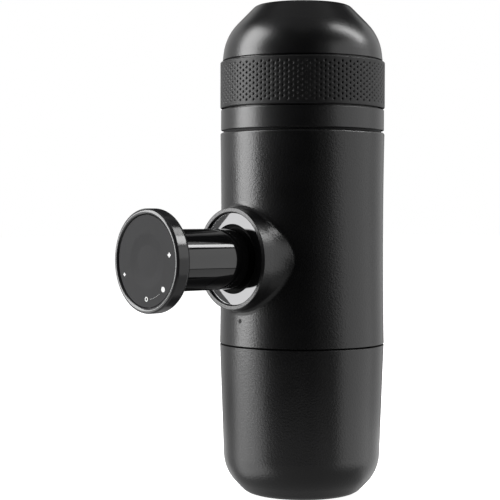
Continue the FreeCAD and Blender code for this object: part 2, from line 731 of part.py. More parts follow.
def bulkhead():
    """Plate on the shell's ledge, with the water inlet, the bent air duct and holes for the screws."""
    radius = d.bulkhead_radius
    body = turned("bulkhead", [
        (ZERO, d.ledge_height),
        (radius, d.ledge_height),
        (radius, d.bulkhead_top),
        (ZERO, d.bulkhead_top),
    ])
    drill(body, "water_inlet", "XY_Plane", ZERO, d.valve_offset, d.throat_radius, d.bulkhead_top,
          reverse=True)
    mouth = radius - d.duct_inset
    drill(body, "air_drop", "XY_Plane", ZERO, -mouth, d.vent_radius, d.vent_height, reverse=True)
    drill(body, "air_duct", "XZ_Plane", ZERO, d.vent_height, d.vent_radius, radius, reverse=True,
          offset=mouth)
    for number, (x, y) in enumerate(post_places(), start=1):
        drill(body, f"screw_way{number}", "XY_Plane", x, y, d.screw_radius + d.running_gap,
              d.bulkhead_top, reverse=True)
        drill(body, f"screw_seat{number}", "XY_Plane", x, y, d.screw_head_radius + d.thread_gap,
              d.ledge_height + d.screw_head_height, reverse=True)
    return body


def on_circle(angle, side, front):
    """Place on the circle of posts. The angle is measured from the side."""
    run = math.radians(angle.number)
    across = Size(math.cos(run), f"cos({angle.formula} * 1 deg)")
    along = Size(math.sin(run), f"sin({angle.formula} * 1 deg)")
    return d.post_circle * across * side, d.post_circle * along * front


def post_places():
    """Centres of the four frame posts: two in front, two at the rear."""
    places = []
    for side in (1, -1):
        places.append(on_circle(d.front_post_angle, side, -1))
        places.append(on_circle(d.rear_post_angle, side, 1))
    return places


def bundle(label, solids):
    group = doc.addObject("Part::Compound", label)
    group.Links = solids
    return group


def frame_posts():
    """Four round posts between the bulkhead and the group head, tapped for the screws."""
    posts = []
    for number, (x, y) in enumerate(post_places(), start=1):
        post = primitive("Part::Cylinder", f"post{number}", (x, y, d.bulkhead_top),
                         Radius=d.post_radius, Height=d.group_bottom - d.bulkhead_top)
        hole = primitive("Part::Cylinder", f"post_hole{number}", (x, y, d.bulkhead_top),
                         Radius=d.screw_radius, Height=d.screw_depth)
        tapped = doc.addObject("Part::Cut", f"tapped_post{number}")
        tapped.Base = post
        tapped.Tool = hole
        posts.append(tapped)
    return bundle("frame_posts", posts)


def bulkhead_screws():
    """Four cheese-head screws, heads sunk in the bulkhead's underside."""
    screws = []
    for number, (x, y) in enumerate(post_places(), start=1):
        shank = primitive("Part::Cylinder", f"shank{number}", (x, y, d.ledge_height), Radius=d.screw_radius,
                          Height=d.bulkhead_thickness + d.screw_depth)
        head = primitive("Part::Cylinder", f"head{number}", (x, y, d.ledge_height),
                         Radius=d.screw_head_radius, Height=d.screw_head_height)
        screw = doc.addObject("Part::Fuse", f"screw{number}")
        screw.Base = head
        screw.Tool = shank
        screws.append(screw)
    return bundle("bulkhead_screws", screws)


def tank_seal():
    """Flat gasket between the tank's neck and the bulkhead."""
    outer = d.neck_socket_radius - d.fitted_gap
    return ring_of("tank_seal", outer - d.seal_width, outer, d.tank_neck_top, d.ledge_height)


def inlet_strainer():
    """Shallow strainer cap under the water inlet."""
    bottom = d.ledge_height - d.strainer_height
    wall = d.strainer_height / 2
    body = turned("inlet_strainer", [
        (ZERO, bottom),
        (d.strainer_radius, bottom),
        (d.strainer_radius, d.ledge_height),
        (d.strainer_radius - wall, d.ledge_height),
        (d.strainer_radius - wall, bottom + wall),
        (ZERO, bottom + wall),
    ])
    hole_circles(body, "inlet", range(1, 2), d.strainer_pitch, bottom + wall)
    body.Placement = Placement(Vector(0, d.valve_offset.number, 0), Rotation())
    bind(body, ".Placement.Base.y", d.valve_offset)
    return body


# ---------------------------------------------------------------- valve manifold

def seat_rise():
    """Height of a 45 degree seat, from its throat to the full bore."""
    return d.valve_bore - d.throat_radius


def valve_manifold():
    """Block behind the pump with one stepped upright bore: inlet seat, middle chamber, outlet seat."""
    body = new_body("valve_manifold")
    half_width = d.manifold_half_width
    back = root(d.bulkhead_radius * d.bulkhead_radius - half_width * half_width)
    sketch = start_sketch(body, "manifold_plan", "XY_Plane", d.bulkhead_top)
    outline(sketch, [
        (-half_width, d.manifold_front),
        (half_width, d.manifold_front),
        (half_width, back, (ZERO, d.bulkhead_radius)),
        (-half_width, back),
    ])
    top = d.pump_height + d.manifold_rise
    block = body.newObject("PartDesign::Pad", "manifold_block")
    block.Profile = sketch
    bind(block, "Length", top - d.bulkhead_top)
    sketch.Visibility = False
    body.Tip = block
    doc.recompute()
    inlet = d.pump_height - d.inlet_seat_drop
    outlet = d.pump_height + d.outlet_seat_rise
    middle = d.pump_height + d.middle_top_rise
    axis = d.valve_offset
    bore = start_sketch(body, "valve_bore", "YZ_Plane")
    outline(bore, [
        (axis, d.bulkhead_top - d.free_gap),
        (axis + d.throat_radius, d.bulkhead_top - d.free_gap),
        (axis + d.throat_radius, inlet),
        (axis + d.valve_bore, inlet + seat_rise()),
        (axis + d.valve_bore, middle),
        (axis + d.throat_radius, middle),
        (axis + d.throat_radius, outlet),
        (axis + d.valve_bore, outlet + seat_rise()),
        (axis + d.valve_bore, top + d.free_gap),
        (axis, top + d.free_gap),
    ])
    add_axis(bore, (axis, d.bulkhead_top), (axis, top))
    turn(body, bore, axis="Axis0", cut=True)
    drill(body, "barrel_port", "XZ_Plane", ZERO, d.pump_height, d.throat_radius, d.valve_offset)
    return body


def ball_centre(seat):
    """Centre of a ball that lies on a 45 degree seat, with the seat's clearance."""
    return seat - d.throat_radius + d.ball_radius * root(as_size(2)) + d.seat_gap


def valve_ball(label, seat):
    return primitive("Part::Sphere", label, (ZERO, d.valve_offset, ball_centre(seat)), Radius=d.ball_radius)


def valve_spring(label, seat, top):
    """Spring whose first turn lies round the ball's crown."""
    reach = d.ball_radius + d.valve_wire / 2 + d.running_gap
    rise = root(reach * reach - d.valve_coil_radius * d.valve_coil_radius)
    bottom = ball_centre(seat) + rise - d.valve_wire / 2
    body = coil(label, d.valve_coil_radius, d.valve_wire, bottom, top, (top - bottom) / d.valve_coil_pitch)
    body.Placement = Placement(Vector(0, d.valve_offset.number, 0), Rotation())
    bind(body, ".Placement.Base.y", d.valve_offset)
    return body


def check_valves():
    inlet = d.pump_height - d.inlet_seat_drop
    outlet = d.pump_height + d.outlet_seat_rise
    tube_end = d.pump_height + d.manifold_rise - d.tube_engagement
    return [
        valve_ball("inlet_valve_ball", inlet),
        valve_spring("inlet_valve_spring", inlet, d.pump_height + d.middle_top_rise - d.running_gap),
        valve_ball("outlet_valve_ball", outlet),
        valve_spring("outlet_valve_spring", outlet, tube_end - d.running_gap),
    ]


def brew_tube():
    """Pipe from the outlet valve up into the group head."""
    body = ring_of("brew_tube", d.tube_bore, d.valve_bore - d.running_gap,
                   d.pump_height + d.manifold_rise - d.tube_engagement, d.group_bottom + d.tube_engagement)
    body.Placement = Placement(Vector(0, d.valve_offset.number, 0), Rotation())
    bind(body, ".Placement.Base.y", d.valve_offset)
    return body


# ---------------------------------------------------------------- pump

def pump_barrel():
    """Cylinder of the pump: closed end with its port on the manifold, open mouth towards the knob."""
    back = -d.manifold_front
    return lay_on_pump_axis(turned("pump_barrel", [
        (d.throat_radius, back),
        (d.barrel_flange_radius, back),
        (d.barrel_flange_radius, back + d.barrel_flange),
        (d.barrel_outer, back + d.barrel_flange),
        (d.barrel_outer, d.barrel_mouth),
        (d.barrel_bore, d.barrel_mouth),
        (d.barrel_bore, back + d.barrel_end),
        (d.throat_radius, back + d.barrel_end),
    ]))


def barrel_cap():
    """Rod guide on the barrel's mouth."""
    return lay_on_pump_axis(ring_of("barrel_cap", d.rod_radius + d.running_gap,
                                    d.barrel_outer + d.cap_skirt, d.barrel_mouth,
                                    d.barrel_mouth + d.cap_thickness))


def rod_shoulder():
    """Front of the rod's shoulder, just behind the knob's web."""
    return d.hub_floor - d.running_gap


def piston_rod():
    """Rod from the piston head to the knob, with the shoulder that seats the spring and carries the knob."""
    shoulder = rod_shoulder()
    tip = d.screw_seat + d.running_gap
    body = turned("piston_rod", [
        (ZERO, d.piston_face + d.piston_length),
        (d.rod_radius, d.piston_face + d.piston_length),
        (d.rod_radius, shoulder - d.shoulder_length),
        (d.shoulder_radius, shoulder - d.shoulder_length),
        (d.shoulder_radius, shoulder),
        (d.stud_radius, shoulder),
        (d.stud_radius, tip),
        (ZERO, tip),
    ])
    return lay_on_pump_axis(body)


def ring_groove():
    """Middle of the O-ring's groove, and the groove's floor."""
    middle = d.piston_face + d.piston_length / 2
    floor = d.barrel_bore - d.running_gap - d.ring_wire
    return middle, floor


def piston_head():
    """Piston with one groove for its O-ring."""
    middle, floor = ring_groove()
    outer = d.barrel_bore - d.piston_gap
    half = d.ring_wire / 2 + d.running_gap
    body = turned("piston_head", [
        (ZERO, d.piston_face),
        (outer, d.piston_face),
        (outer, middle - half),
        (floor, middle - half),
        (floor, middle + half),
        (outer, middle + half),
        (outer, d.piston_face + d.piston_length),
        (ZERO, d.piston_face + d.piston_length),
    ])
    return lay_on_pump_axis(body)


def piston_ring():
    """The O-ring in the piston's groove."""
    middle, floor = ring_groove()
    ring = primitive("Part::Torus", "piston_ring", (ZERO, -middle, d.pump_height),
                     Radius1=floor + d.ring_wire / 2, Radius2=d.ring_wire / 2)
    ring.Placement = Placement(ring.Placement.Base, Rotation(Vector(1, 0, 0), 90))
    return ring


def return_spring():
    """Coil round the barrel, between its flange and the rod's shoulder."""
    bottom = -d.manifold_front + d.barrel_flange
    return lay_on_pump_axis(coil("return_spring", d.coil_radius, d.coil_wire, bottom,
                                 rod_shoulder() - d.shoulder_length, d.coil_turns))


# ---------------------------------------------------------------- sleeve and lock

def sector(body, name, role, inner, outer, bottom, top, angle):
    """Part of a ring, centred on the plane it is drawn on."""
    sketch = outline(start_sketch(body, name, role),
                     [(inner, bottom), (outer, bottom), (outer, top), (inner, top)])
    feature = turn(body, sketch, angle=angle, centred=True)
    return sketch, feature


def shaft_sleeve():
    """Tubular shaft with two locking lugs at its inner end."""
    body = ring_of("shaft_sleeve", d.sleeve_bore, d.sleeve_radius, d.sleeve_back, d.hub_floor)
    lug = sector(body, "lug", "YZ_Plane", d.sleeve_radius - d.lug_root, d.lug_radius, d.sleeve_back,
                 d.lug_front, d.lug_angle)[1]
    around(body, lug, "lugs", 2)
    return lay_on_pump_axis(body)


def lock_ring():
    """Bayonet ring on the manifold. Its tabs leave two gates for the lugs, which turn in behind them."""
    back = -d.manifold_front
    inner = d.lug_radius + d.thread_gap
    tab_back = d.lug_front - d.stroke + d.free_gap
    tab_front = tab_back + d.tab_length
    body = ring_of("lock_ring", inner, inner + d.lock_wall, back, tab_front)
    sketch, tab = sector(body, "tab", "YZ_Plane", d.sleeve_radius + d.free_gap, inner + d.lock_wall / 2,
                         tab_back, tab_front, d.tab_angle)
    sketch.AttachmentOffset = Placement(Vector(), Rotation(Vector(0, 1, 0), -d.lock_turn.number))
    bind(sketch, ".AttachmentOffset.Rotation.Angle", d.lock_turn)
    doc.recompute()
    around(body, tab, "tabs", 2)
    return lay_on_pump_axis(body)


# ---------------------------------------------------------------- knob

def knob():
    """Push knob: rounded rim, recessed front for the face disc, counterbored back for the sleeve."""
    pocket_radius = d.knob_screw_radius + d.thread_gap
    stud_way = d.stud_radius + d.running_gap
    body = turned("knob", [
        (stud_way, d.hub_floor),
        (d.sleeve_radius, d.hub_floor),
        (d.sleeve_radius, d.knob_back),
        (d.knob_back_radius, d.knob_back),
        (d.knob_radius, d.knob_front),
        (d.face_radius, d.knob_front),
        (d.face_radius, d.face_floor),
        (pocket_radius, d.face_floor),
        (pocket_radius, d.screw_seat),
        (stud_way, d.screw_seat),
    ])
    round_rings(body, d.knob_back_round, (d.knob_back_radius, d.knob_back))
    round_rings(body, d.bead_round, (d.knob_radius, d.knob_front), (d.face_radius, d.knob_front))
    return lay_on_pump_axis(body)


def knob_face():
    """Disc in the knob's front with a shallow round dish."""
    radius = d.face_radius - d.fitted_gap
    top = d.face_top
    body = turned("knob_face", [
        (ZERO, d.face_floor),
        (radius, d.face_floor),
        (radius, top),
        (d.dish_radius, top),
        (d.dish_floor_radius, top - d.dish_depth),
        (ZERO, top - d.dish_depth),
    ])
    round_rings(body, d.dish_round, (d.dish_radius, top), (d.dish_floor_radius, top - d.dish_depth))
    return lay_on_pump_axis(body)


def knob_screw():
    """Flat screw that keeps the knob on the rod and lets it turn."""
    seat = d.screw_seat + d.running_gap
    return lay_on_pump_axis(turned("knob_screw", [
        (ZERO, seat),
        (d.knob_screw_radius, seat),
        (d.knob_screw_radius, seat + d.knob_screw_head),
        (ZERO, seat + d.knob_screw_head),
    ]))


# ---------------------------------------------------------------- group head

def group_head():
    """Plate over the pump with the neck that takes the outlet head, the shower space and the brew port."""
    body = turned("group_head", [
        (ZERO, d.group_bottom),
        (d.bulkhead_radius, d.group_bottom),
        (d.bulkhead_radius, d.shell_top),
        (d.flange_radius, d.shell_top),
        (d.flange_radius, d.head_bottom),
        (d.group_neck_radius, d.head_bottom),
        (d.group_neck_radius, d.group_neck_top),
        (d.group_neck_bore, d.group_neck_top),
        (d.group_neck_bore, d.group_floor),
        (d.shower_radius, d.group_floor),
        (d.shower_radius, d.group_floor - d.shower_depth),
        (d.screen_boss_radius, d.group_floor - d.shower_depth),
        (d.screen_boss_radius, d.group_floor),
        (ZERO, d.group_floor),
    ])
    drill(body, "tube_socket", "XY_Plane", ZERO, d.valve_offset, d.valve_bore,
          d.group_bottom + d.tube_engagement, reverse=True)
    drill(body, "brew_port", "XY_Plane", ZERO, d.valve_offset, d.throat_radius, d.group_floor, reverse=True)
    sketch = start_sketch(body, "screw_hole", "XZ_Plane")
    outline(sketch, [
        (ZERO, d.group_floor - d.screen_screw_length),
        (d.screen_screw_radius, d.group_floor - d.screen_screw_length),
        (d.screen_screw_radius, d.group_floor + d.free_gap),
        (ZERO, d.group_floor + d.free_gap),
    ])
    turn(body, sketch, cut=True)
    return body


def dispersion_screen():
    """Disc that spreads the water over the coffee."""
    top = d.group_floor + d.screen_thickness
    body = ring_of("dispersion_screen", d.screen_screw_radius + d.running_gap, d.screen_radius,
                   d.group_floor, top)
    hole_circles(body, "spread", range(2, 5), d.hole_pitch, top)
    return body


def screen_screw():
    """Pan-head screw in the middle of the screen."""
    seat = d.group_floor + d.screen_thickness
    body = turned("screen_screw", [
        (ZERO, d.group_floor - d.screen_screw_length),
        (d.screen_screw_radius, d.group_floor - d.screen_screw_length),
        (d.screen_screw_radius, seat),
        (d.screen_screw_head, seat),
        (d.screen_screw_head, seat + d.screen_head_height),
        (ZERO, seat + d.screen_head_height),
    ])
    round_rings(body, d.screen_head_height / 2, (d.screen_screw_head, seat + d.screen_head_height))
    return body


def group_gasket():
    """Ring that the basket's flange is pressed on."""
    return ring_of("group_gasket", d.screen_radius + d.fitted_gap, d.group_neck_bore - d.fitted_gap,
                   d.group_floor, d.gasket_top)


# ---------------------------------------------------------------- filter basket

def filter_basket():
    """Sheet metal basket, stored mouth down: flange, wall and perforated bottom."""
    inside = d.basket_radius - d.basket_sheet
    flange = d.group_neck_bore - d.free_gap
    flange_top = d.gasket_top + d.basket_flange
    end = d.basket_end + d.basket_sheet
    body = turned("filter_basket", [
        (inside, d.gasket_top),
        (flange, d.gasket_top),
        (flange, flange_top),
        (d.basket_radius, flange_top),
        (d.basket_radius, end),
        (ZERO, end),
        (ZERO, d.basket_end),
        (inside, d.basket_end),
    ])
    hole_circles(body, "brew", range(1, 5), d.hole_pitch, end)
    return body


# ---------------------------------------------------------------- outlet head

def outlet_head():
    """Screw-on head: plain band, core for the grip ring, skirt over the basket, deck and spout."""
    skirt_outer = d.group_neck_bore - d.free_gap
    skirt_inner = skirt_outer - d.head_skirt_wall
    skirt_bottom = d.gasket_top + d.basket_flange
    ceiling = d.group_neck_top + d.head_seal_thickness
    socket = d.group_neck_radius + d.thread_gap
    collar = d.cup_neck_radius + d.thread_gap
    body = turned("outlet_head", [
        (d.spout_bore, d.deck_bottom),
        (skirt_inner, d.deck_bottom),
        (skirt_inner, skirt_bottom),
        (skirt_outer, skirt_bottom),
        (skirt_outer, ceiling),
        (socket, ceiling),
        (socket, d.head_bottom),
        (d.head_band_radius, d.head_bottom),
        (d.head_band_radius, d.head_band_top),
        (d.head_core_radius, d.head_band_top),
        (d.head_core_radius, d.cup_seam),
        (collar, d.cup_seam),
        (collar, d.head_deck),
        (d.spout_root_radius, d.head_deck),
        (d.spout_tip_radius, d.head_deck + d.spout_height),
        (d.spout_bore, d.head_deck + d.spout_height),
    ])
    bevel_rings(body, d.edge_break, (d.head_band_radius, d.head_bottom),
                (d.head_band_radius, d.head_band_top))
    return body


def head_seal():
    """Ring in the head's ceiling, over the group head's neck."""
    inner = d.group_neck_bore - d.free_gap + d.fitted_gap
    outer = d.group_neck_radius + d.thread_gap - d.fitted_gap
    return ring_of("head_seal", inner, outer, d.group_neck_top, d.group_neck_top + d.head_seal_thickness)


def grip_ring():
    """Knurled rubber ring on the head's core."""
    body = ring_of("grip_ring", d.head_core_radius, d.grip_radius, d.grip_bottom, d.grip_top)
    bevel_rings(body, d.grip_bevel, (d.grip_radius, d.grip_bottom), (d.grip_radius, d.grip_top))
    return body


def cup_gasket():
    """Ring on the deck under the cup's neck."""
    return ring_of("cup_gasket", d.cup_neck_bore, d.cup_neck_radius, d.head_deck,
                   d.head_deck + d.cup_gasket_thickness)


# ---------------------------------------------------------------- cup and scoop

def cup():
    """Drinking cup, stored upside down: domed outside, plain neck that plugs into the head."""
    top = d.total_height
    shoulder = d.cup_shoulder
    bottom = d.head_deck + d.cup_gasket_thickness
    ceiling = top - d.cup_wall
    inside_top = d.cup_top_radius - d.cup_wall / 2
    inside_shoulder = d.cup_shoulder_radius - d.cup_wall
    body = turned("cup", [
        (d.cup_neck_bore, bottom),
        (d.cup_neck_radius, bottom),
        (d.cup_neck_radius, d.cup_seam),
        (d.cup_rim_radius, d.cup_seam),
        (d.cup_shoulder_radius, shoulder),
        (d.cup_top_radius, top),
        (ZERO, top),
        (ZERO, ceiling),
        (inside_top, ceiling),
        (inside_shoulder, shoulder - d.cup_wall / 2),
        (inside_shoulder, d.cup_seam + d.cup_wall),
        (d.cup_neck_bore, d.cup_seam + d.cup_wall),
    ])
    round_rings(body, d.cup_shoulder_round, (d.cup_shoulder_radius, shoulder))
    round_rings(body, d.cup_top_round, (d.cup_top_radius, top))
    round_rings(body, d.cup_inner_round, (inside_shoulder, shoulder - d.cup_wall / 2))
    bevel_rings(body, d.edge_break, (d.cup_rim_radius, d.cup_seam))
    return body


def scoop():
    """Measuring scoop, stowed mouth down over the spout."""
    inside_top = d.scoop_top - d.scoop_wall
    body = turned("scoop", [
        (d.scoop_radius - d.scoop_wall, d.head_deck),
        (d.scoop_radius, d.head_deck),
        (d.scoop_top_radius, d.scoop_top),
        (ZERO, d.scoop_top),
        (ZERO, inside_top),
        (d.scoop_top_radius - d.scoop_wall, inside_top),
    ])
    round_rings(body, d.scoop_round, (d.scoop_top_radius, d.scoop_top))
    return body


# ---------------------------------------------------------------- build and write

def build():
    return [
        water_tank(), main_shell(), tank_seal(), inlet_strainer(), bulkhead(), bulkhead_screws(),
        frame_posts(), valve_manifold(), *check_valves(), brew_tube(), pump_barrel(), barrel_cap(),
        collar_plate(), shaft_wiper(), guide_bush(), lock_ring(), piston_rod(), piston_head(),
        piston_ring(), return_spring(), shaft_sleeve(), knob(), knob_screw(), knob_face(), group_head(),
        group_gasket(), dispersion_screen(), screen_screw(), filter_basket(), outlet_head(), head_seal(),
        grip_ring(), cup_gasket(), cup(), scoop(),
    ]


def check(pieces):
    """Stops before anything is written if an object failed or a piece has no sound solid."""
    faults = [item.Label for item in doc.Objects if {"Invalid", "Error"} & set(item.State)]
    for piece in pieces:
        shape = piece.Shape
        if shape.isNull() or not shape.isValid() or not shape.Solids:
            faults.append(piece.Label)
    if faults:
        raise ValueError("failed: " + ", ".join(sorted(set(faults))))


pieces = build()
doc.recompute()
check(pieces)
os.makedirs(OUT, exist_ok=True)
for piece in pieces:
    piece.Shape.exportStep(f"{OUT}/{piece.Label}.step")
    print(f"{piece.Label:22s} {len(piece.Shape.Solids):2d} {piece.Shape.Volume:10.1f}")
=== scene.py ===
import json
import math

import bpy
import numpy as np
from mathutils import Matrix, Quaternion, Vector


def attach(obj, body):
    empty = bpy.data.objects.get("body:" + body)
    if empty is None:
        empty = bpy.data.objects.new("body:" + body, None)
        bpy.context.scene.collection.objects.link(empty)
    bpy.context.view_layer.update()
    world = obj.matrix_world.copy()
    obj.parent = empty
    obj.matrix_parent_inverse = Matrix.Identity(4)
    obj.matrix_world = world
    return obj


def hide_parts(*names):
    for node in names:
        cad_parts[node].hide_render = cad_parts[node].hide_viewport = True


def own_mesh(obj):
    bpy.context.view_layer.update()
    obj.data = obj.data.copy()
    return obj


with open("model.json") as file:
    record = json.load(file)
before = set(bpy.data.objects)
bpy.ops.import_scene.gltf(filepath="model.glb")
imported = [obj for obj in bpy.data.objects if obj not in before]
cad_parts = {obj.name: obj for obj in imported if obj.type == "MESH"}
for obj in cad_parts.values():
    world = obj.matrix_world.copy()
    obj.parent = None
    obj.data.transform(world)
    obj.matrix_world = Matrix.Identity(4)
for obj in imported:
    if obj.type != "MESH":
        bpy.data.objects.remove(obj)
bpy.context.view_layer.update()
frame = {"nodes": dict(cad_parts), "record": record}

# ------------------------------------------------------------------------------------------------
# Water tank: a turned plastic cup with a domed shoulder and a flat foot, sprayed satin black.
# A coarse thread on its neck holds it in the body. Shapes are worked out in millimetres.

MM = 0.001
TANK_SEAM = 53.6          # joint line of tank and body
TANK_RIM = 29.55          # outside at that line
TANK_SHOULDER, TANK_SHOULDER_HEIGHT = 27.93, 8.15            # corner between side and dome
TANK_FOOT = 20.07         # corner between dome and foot
TANK_FLOOR = 3.0
TANK_WALL = 2.4
TANK_NECK, TANK_NECK_BORE = 25.8, 23.6
TANK_NECK_TOP = 59.46
SEAM_ROOT = 28.9          # the groove between tank and body is cut in to this radius
SEAM_SLOPE = 0.25         # fall of the tank's top from there to its rim
THREAD_OUT, THREAD_HALF = 0.22, 0.55         # how far a thread ridge stands out, and half its width
THREAD_END = 1.2          # plain length of the tank's neck before and after its ridge
SATIN_BLACK = (0.0045, 0.0045, 0.0048)


def rounded_profile(corners, closed=False):
    """A line through (radius, height, rounding) corners. A rounding becomes an arc tangent to both runs,
    cut every 6 degrees. A run longer than four holds gets a holding point near each end, so that the
    shading of a flat stays flat up to its bend."""
    hold = 0.12
    corner = np.array([c[:2] for c in corners], float)
    runs = []
    for i, c in enumerate(corners):
        if len(c) < 3 or (not closed and i in (0, len(corners) - 1)):
            runs.append(corner[i:i + 1])
            continue
        a = corner[i - 1] - corner[i]
        b = corner[(i + 1) % len(corners)] - corner[i]
        a = a / np.hypot(*a)
        b = b / np.hypot(*b)
        half = math.acos(np.clip(a @ b, -1, 1)) / 2
        centre = corner[i] + (a + b) / np.hypot(*(a + b)) * c[2] / math.sin(half)
        first = corner[i] + a * c[2] / math.tan(half) - centre
        last = corner[i] + b * c[2] / math.tan(half) - centre
        sweep = math.pi - 2 * half
        share = np.linspace(0, 1, max(3, math.ceil(sweep / math.radians(6))) + 1)[:, None]
        arc = np.sin((1 - share) * sweep) * first + np.sin(share * sweep) * last
        runs.append(centre + arc / math.sin(sweep))
    line = [runs[0]]
    for i in range(1, len(runs) + closed):
        start, end = runs[i - 1][-1], runs[i % len(runs)][0]
        length = np.hypot(*(end - start))
        if length > hold * 4:
            step = (end - start) / length * hold
            line.append(np.array([start + step, end - step]))
        if i < len(runs):
            line.append(runs[i])
    return np.concatenate(line)


def upright(radius, height, turn):
    """Point at a radius from the body's axis, a height, and a turn that starts at the knob's side."""
    return np.stack([radius * np.sin(turn), -radius * np.cos(turn), height + 0 * turn], -1)


def woven(points, wrap_rows=False, wrap_columns=True):
    """Triangles over a grid of points, two for each cell, joined round where the grid closes on itself."""
    rows, columns = points.shape[:2]
    i, j = np.meshgrid(np.arange(rows - (not wrap_rows)), np.arange(columns - (not wrap_columns)),
                       indexing="ij")
    down, right = (i + 1) % rows, (j + 1) % columns
    a, b, c, d = i * columns + j, down * columns + j, down * columns + right, i * columns + right
    faces = np.concatenate([np.stack([a, b, c], -1), np.stack([a, c, d], -1)])
    return points.reshape(-1, 3), faces.reshape(-1, 3)


def sewn(*sheets):
    """Several sheets as one closed skin: points that coincide become one, triangles without area go, and
    the whole is turned so that its volume is positive, which makes every face look outwards."""
    starts = np.cumsum([0] + [len(p) for p, _ in sheets])
    points = np.concatenate([p for p, _ in sheets])
    faces = np.concatenate([t + s for (_, t), s in zip(sheets, starts)])
    _, first, same = np.unique(np.round(points * 1e4).astype(np.int64), axis=0, return_index=True,
                               return_inverse=True)
    points, faces = points[first], same.reshape(-1)[faces]
    a, b, c = faces.T
    faces = faces[(a != b) & (b != c) & (c != a)]
    a, b, c = points[faces[:, 0]], points[faces[:, 1]], points[faces[:, 2]]
    if (a * np.cross(b, c)).sum() < 0:
        faces = faces[:, ::-1]
    return points, faces


def turned_skin(line, place=upright, closed=False):
    """A profile line turned about its axis: every profile point goes round in 288 equal steps."""
    turn = np.linspace(0, 2 * math.pi, 288, endpoint=False)[None, :]
    return sewn(woven(place(line[:, :1], line[:, 1:2], turn), wrap_rows=closed))


def piece(name, skins, material, body, slot, *nodes):
    """Puts skins in millimetres into one mesh, smooth but for bends sharper than 38 degrees, hangs it on
    its body, and lets it stand for the nodes that are named last."""
    starts = np.cumsum([0] + [len(p) for p, _ in skins])
    points = np.concatenate([p for p, _ in skins]) * MM
    faces = np.concatenate([t + s for (_, t), s in zip(skins, starts)])
    mesh = bpy.data.meshes.new(name)
    mesh.from_pydata(points.tolist(), [], faces.tolist())
    mesh.polygons.foreach_set("use_smooth", np.ones(len(faces), bool))
    mesh.set_sharp_from_angle(angle=math.radians(38))
    mesh.materials.append(material)
    mesh.update()
    thing = bpy.data.objects.new(name, mesh)
    bpy.context.scene.collection.objects.link(thing)
    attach(thing, body)
    if nodes:
        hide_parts(*nodes)
    return thing


def finish(name, colour, rough, grain, height, drift=0.18, **shader):
    """A surface finish. A fine noise of the given grain (metres) raises it by the given height (metres),
    and a broad noise, of about a centimetre, lets its colour and its roughness drift by the given share.
    Fixed values go on the shader."""
    material = bpy.data.materials.new(name)
    material.use_nodes = True
    tree = material.node_tree
    surface = tree.nodes["Principled BSDF"]
    for socket, value in shader.items():
        surface.inputs[socket.replace("_", " ")].default_value = value
    place = tree.nodes.new("ShaderNodeTexCoord")
    fine = tree.nodes.new("ShaderNodeTexNoise")
    fine.inputs["Scale"].default_value = 1 / grain
    fine.inputs["Detail"].default_value = 2
    raised = tree.nodes.new("ShaderNodeBump")
    raised.inputs["Distance"].default_value = height
    broad = tree.nodes.new("ShaderNodeTexNoise")
    broad.inputs["Scale"].default_value = 90
    broad.inputs["Detail"].default_value = 4
    tint = tree.nodes.new("ShaderNodeValToRGB")
    tint.color_ramp.elements[0].position = 0.3
    tint.color_ramp.elements[1].position = 0.7
    tint.color_ramp.elements[0].color = (*[c * (1 - drift) for c in colour], 1)
    tint.color_ramp.elements[1].color = (*[c * (1 + drift) for c in colour], 1)
    dull = tree.nodes.new("ShaderNodeMapRange")
    dull.inputs["To Min"].default_value = rough * (1 - drift / 2)
    dull.inputs["To Max"].default_value = rough * (1 + drift / 2)
    link = tree.links.new
    link(place.outputs["Object"], fine.inputs["Vector"])
    link(fine.outputs["Fac"], raised.inputs["Height"])
    link(raised.outputs["Normal"], surface.inputs["Normal"])
    link(place.outputs["Object"], broad.inputs["Vector"])
    link(broad.outputs["Fac"], tint.inputs["Fac"])
    link(tint.outputs["Color"], surface.inputs["Base Color"])
    link(broad.outputs["Fac"], dull.inputs["Value"])
    link(dull.outputs["Result"], surface.inputs["Roughness"])
    return material


def wound(radius, across, along, low, high, turns, place=upright, lead=0.0):
    """A wire or a thread ridge: an ellipse (half widths across and along the axis) carried round a helix
    between two heights, in 40 steps a turn. Over the lead, a share of its length, it shrinks to a point at
    each end; with no lead it is cut square."""
    t = np.linspace(0, 1, int(turns * 40) + 2)
    size = np.clip(np.minimum(t, 1 - t) / lead, 0, 1) if lead else np.ones_like(t)
    size[[0, -1]] = 0
    turn = (t * turns * 2 * math.pi)[:, None]
    round_it = np.linspace(0, 2 * math.pi, 12, endpoint=False)[None, :]
    r = radius + across * size[:, None] * np.cos(round_it)
    h = low + (high - low) * t[:, None] + along * size[:, None] * np.sin(round_it)
    return sewn(woven(place(r, h, turn)))


tank_line = rounded_profile([
    (0, 0), (TANK_FOOT, 0, 4.7), (TANK_SHOULDER, TANK_SHOULDER_HEIGHT, 14.6),
    (TANK_RIM, TANK_SEAM - SEAM_SLOPE, 0.1), (SEAM_ROOT, TANK_SEAM), (TANK_NECK, TANK_SEAM),
    (TANK_NECK, TANK_NECK_TOP), (TANK_NECK_BORE, TANK_NECK_TOP), (TANK_NECK_BORE, TANK_SEAM - TANK_WALL),
    (TANK_RIM - TANK_WALL, TANK_SEAM - TANK_WALL * 2),
    (TANK_SHOULDER - TANK_WALL, TANK_SHOULDER_HEIGHT + TANK_WALL / 2, 12.0),
    (TANK_FOOT - TANK_WALL / 2, TANK_FLOOR), (0, TANK_FLOOR)])
satin_paint = finish("satin_black_paint", SATIN_BLACK, 0.3, 0.0007, 0.00006, Specular_IOR_Level=0.45)
piece("tank_cup", [turned_skin(tank_line)], satin_paint, "tank", "body_paint", "water_tank")
moulded = finish("moulded_black", (0.009, 0.009, 0.0095), 0.55, 0.0006, 0.00001, Specular_IOR_Level=0.15)
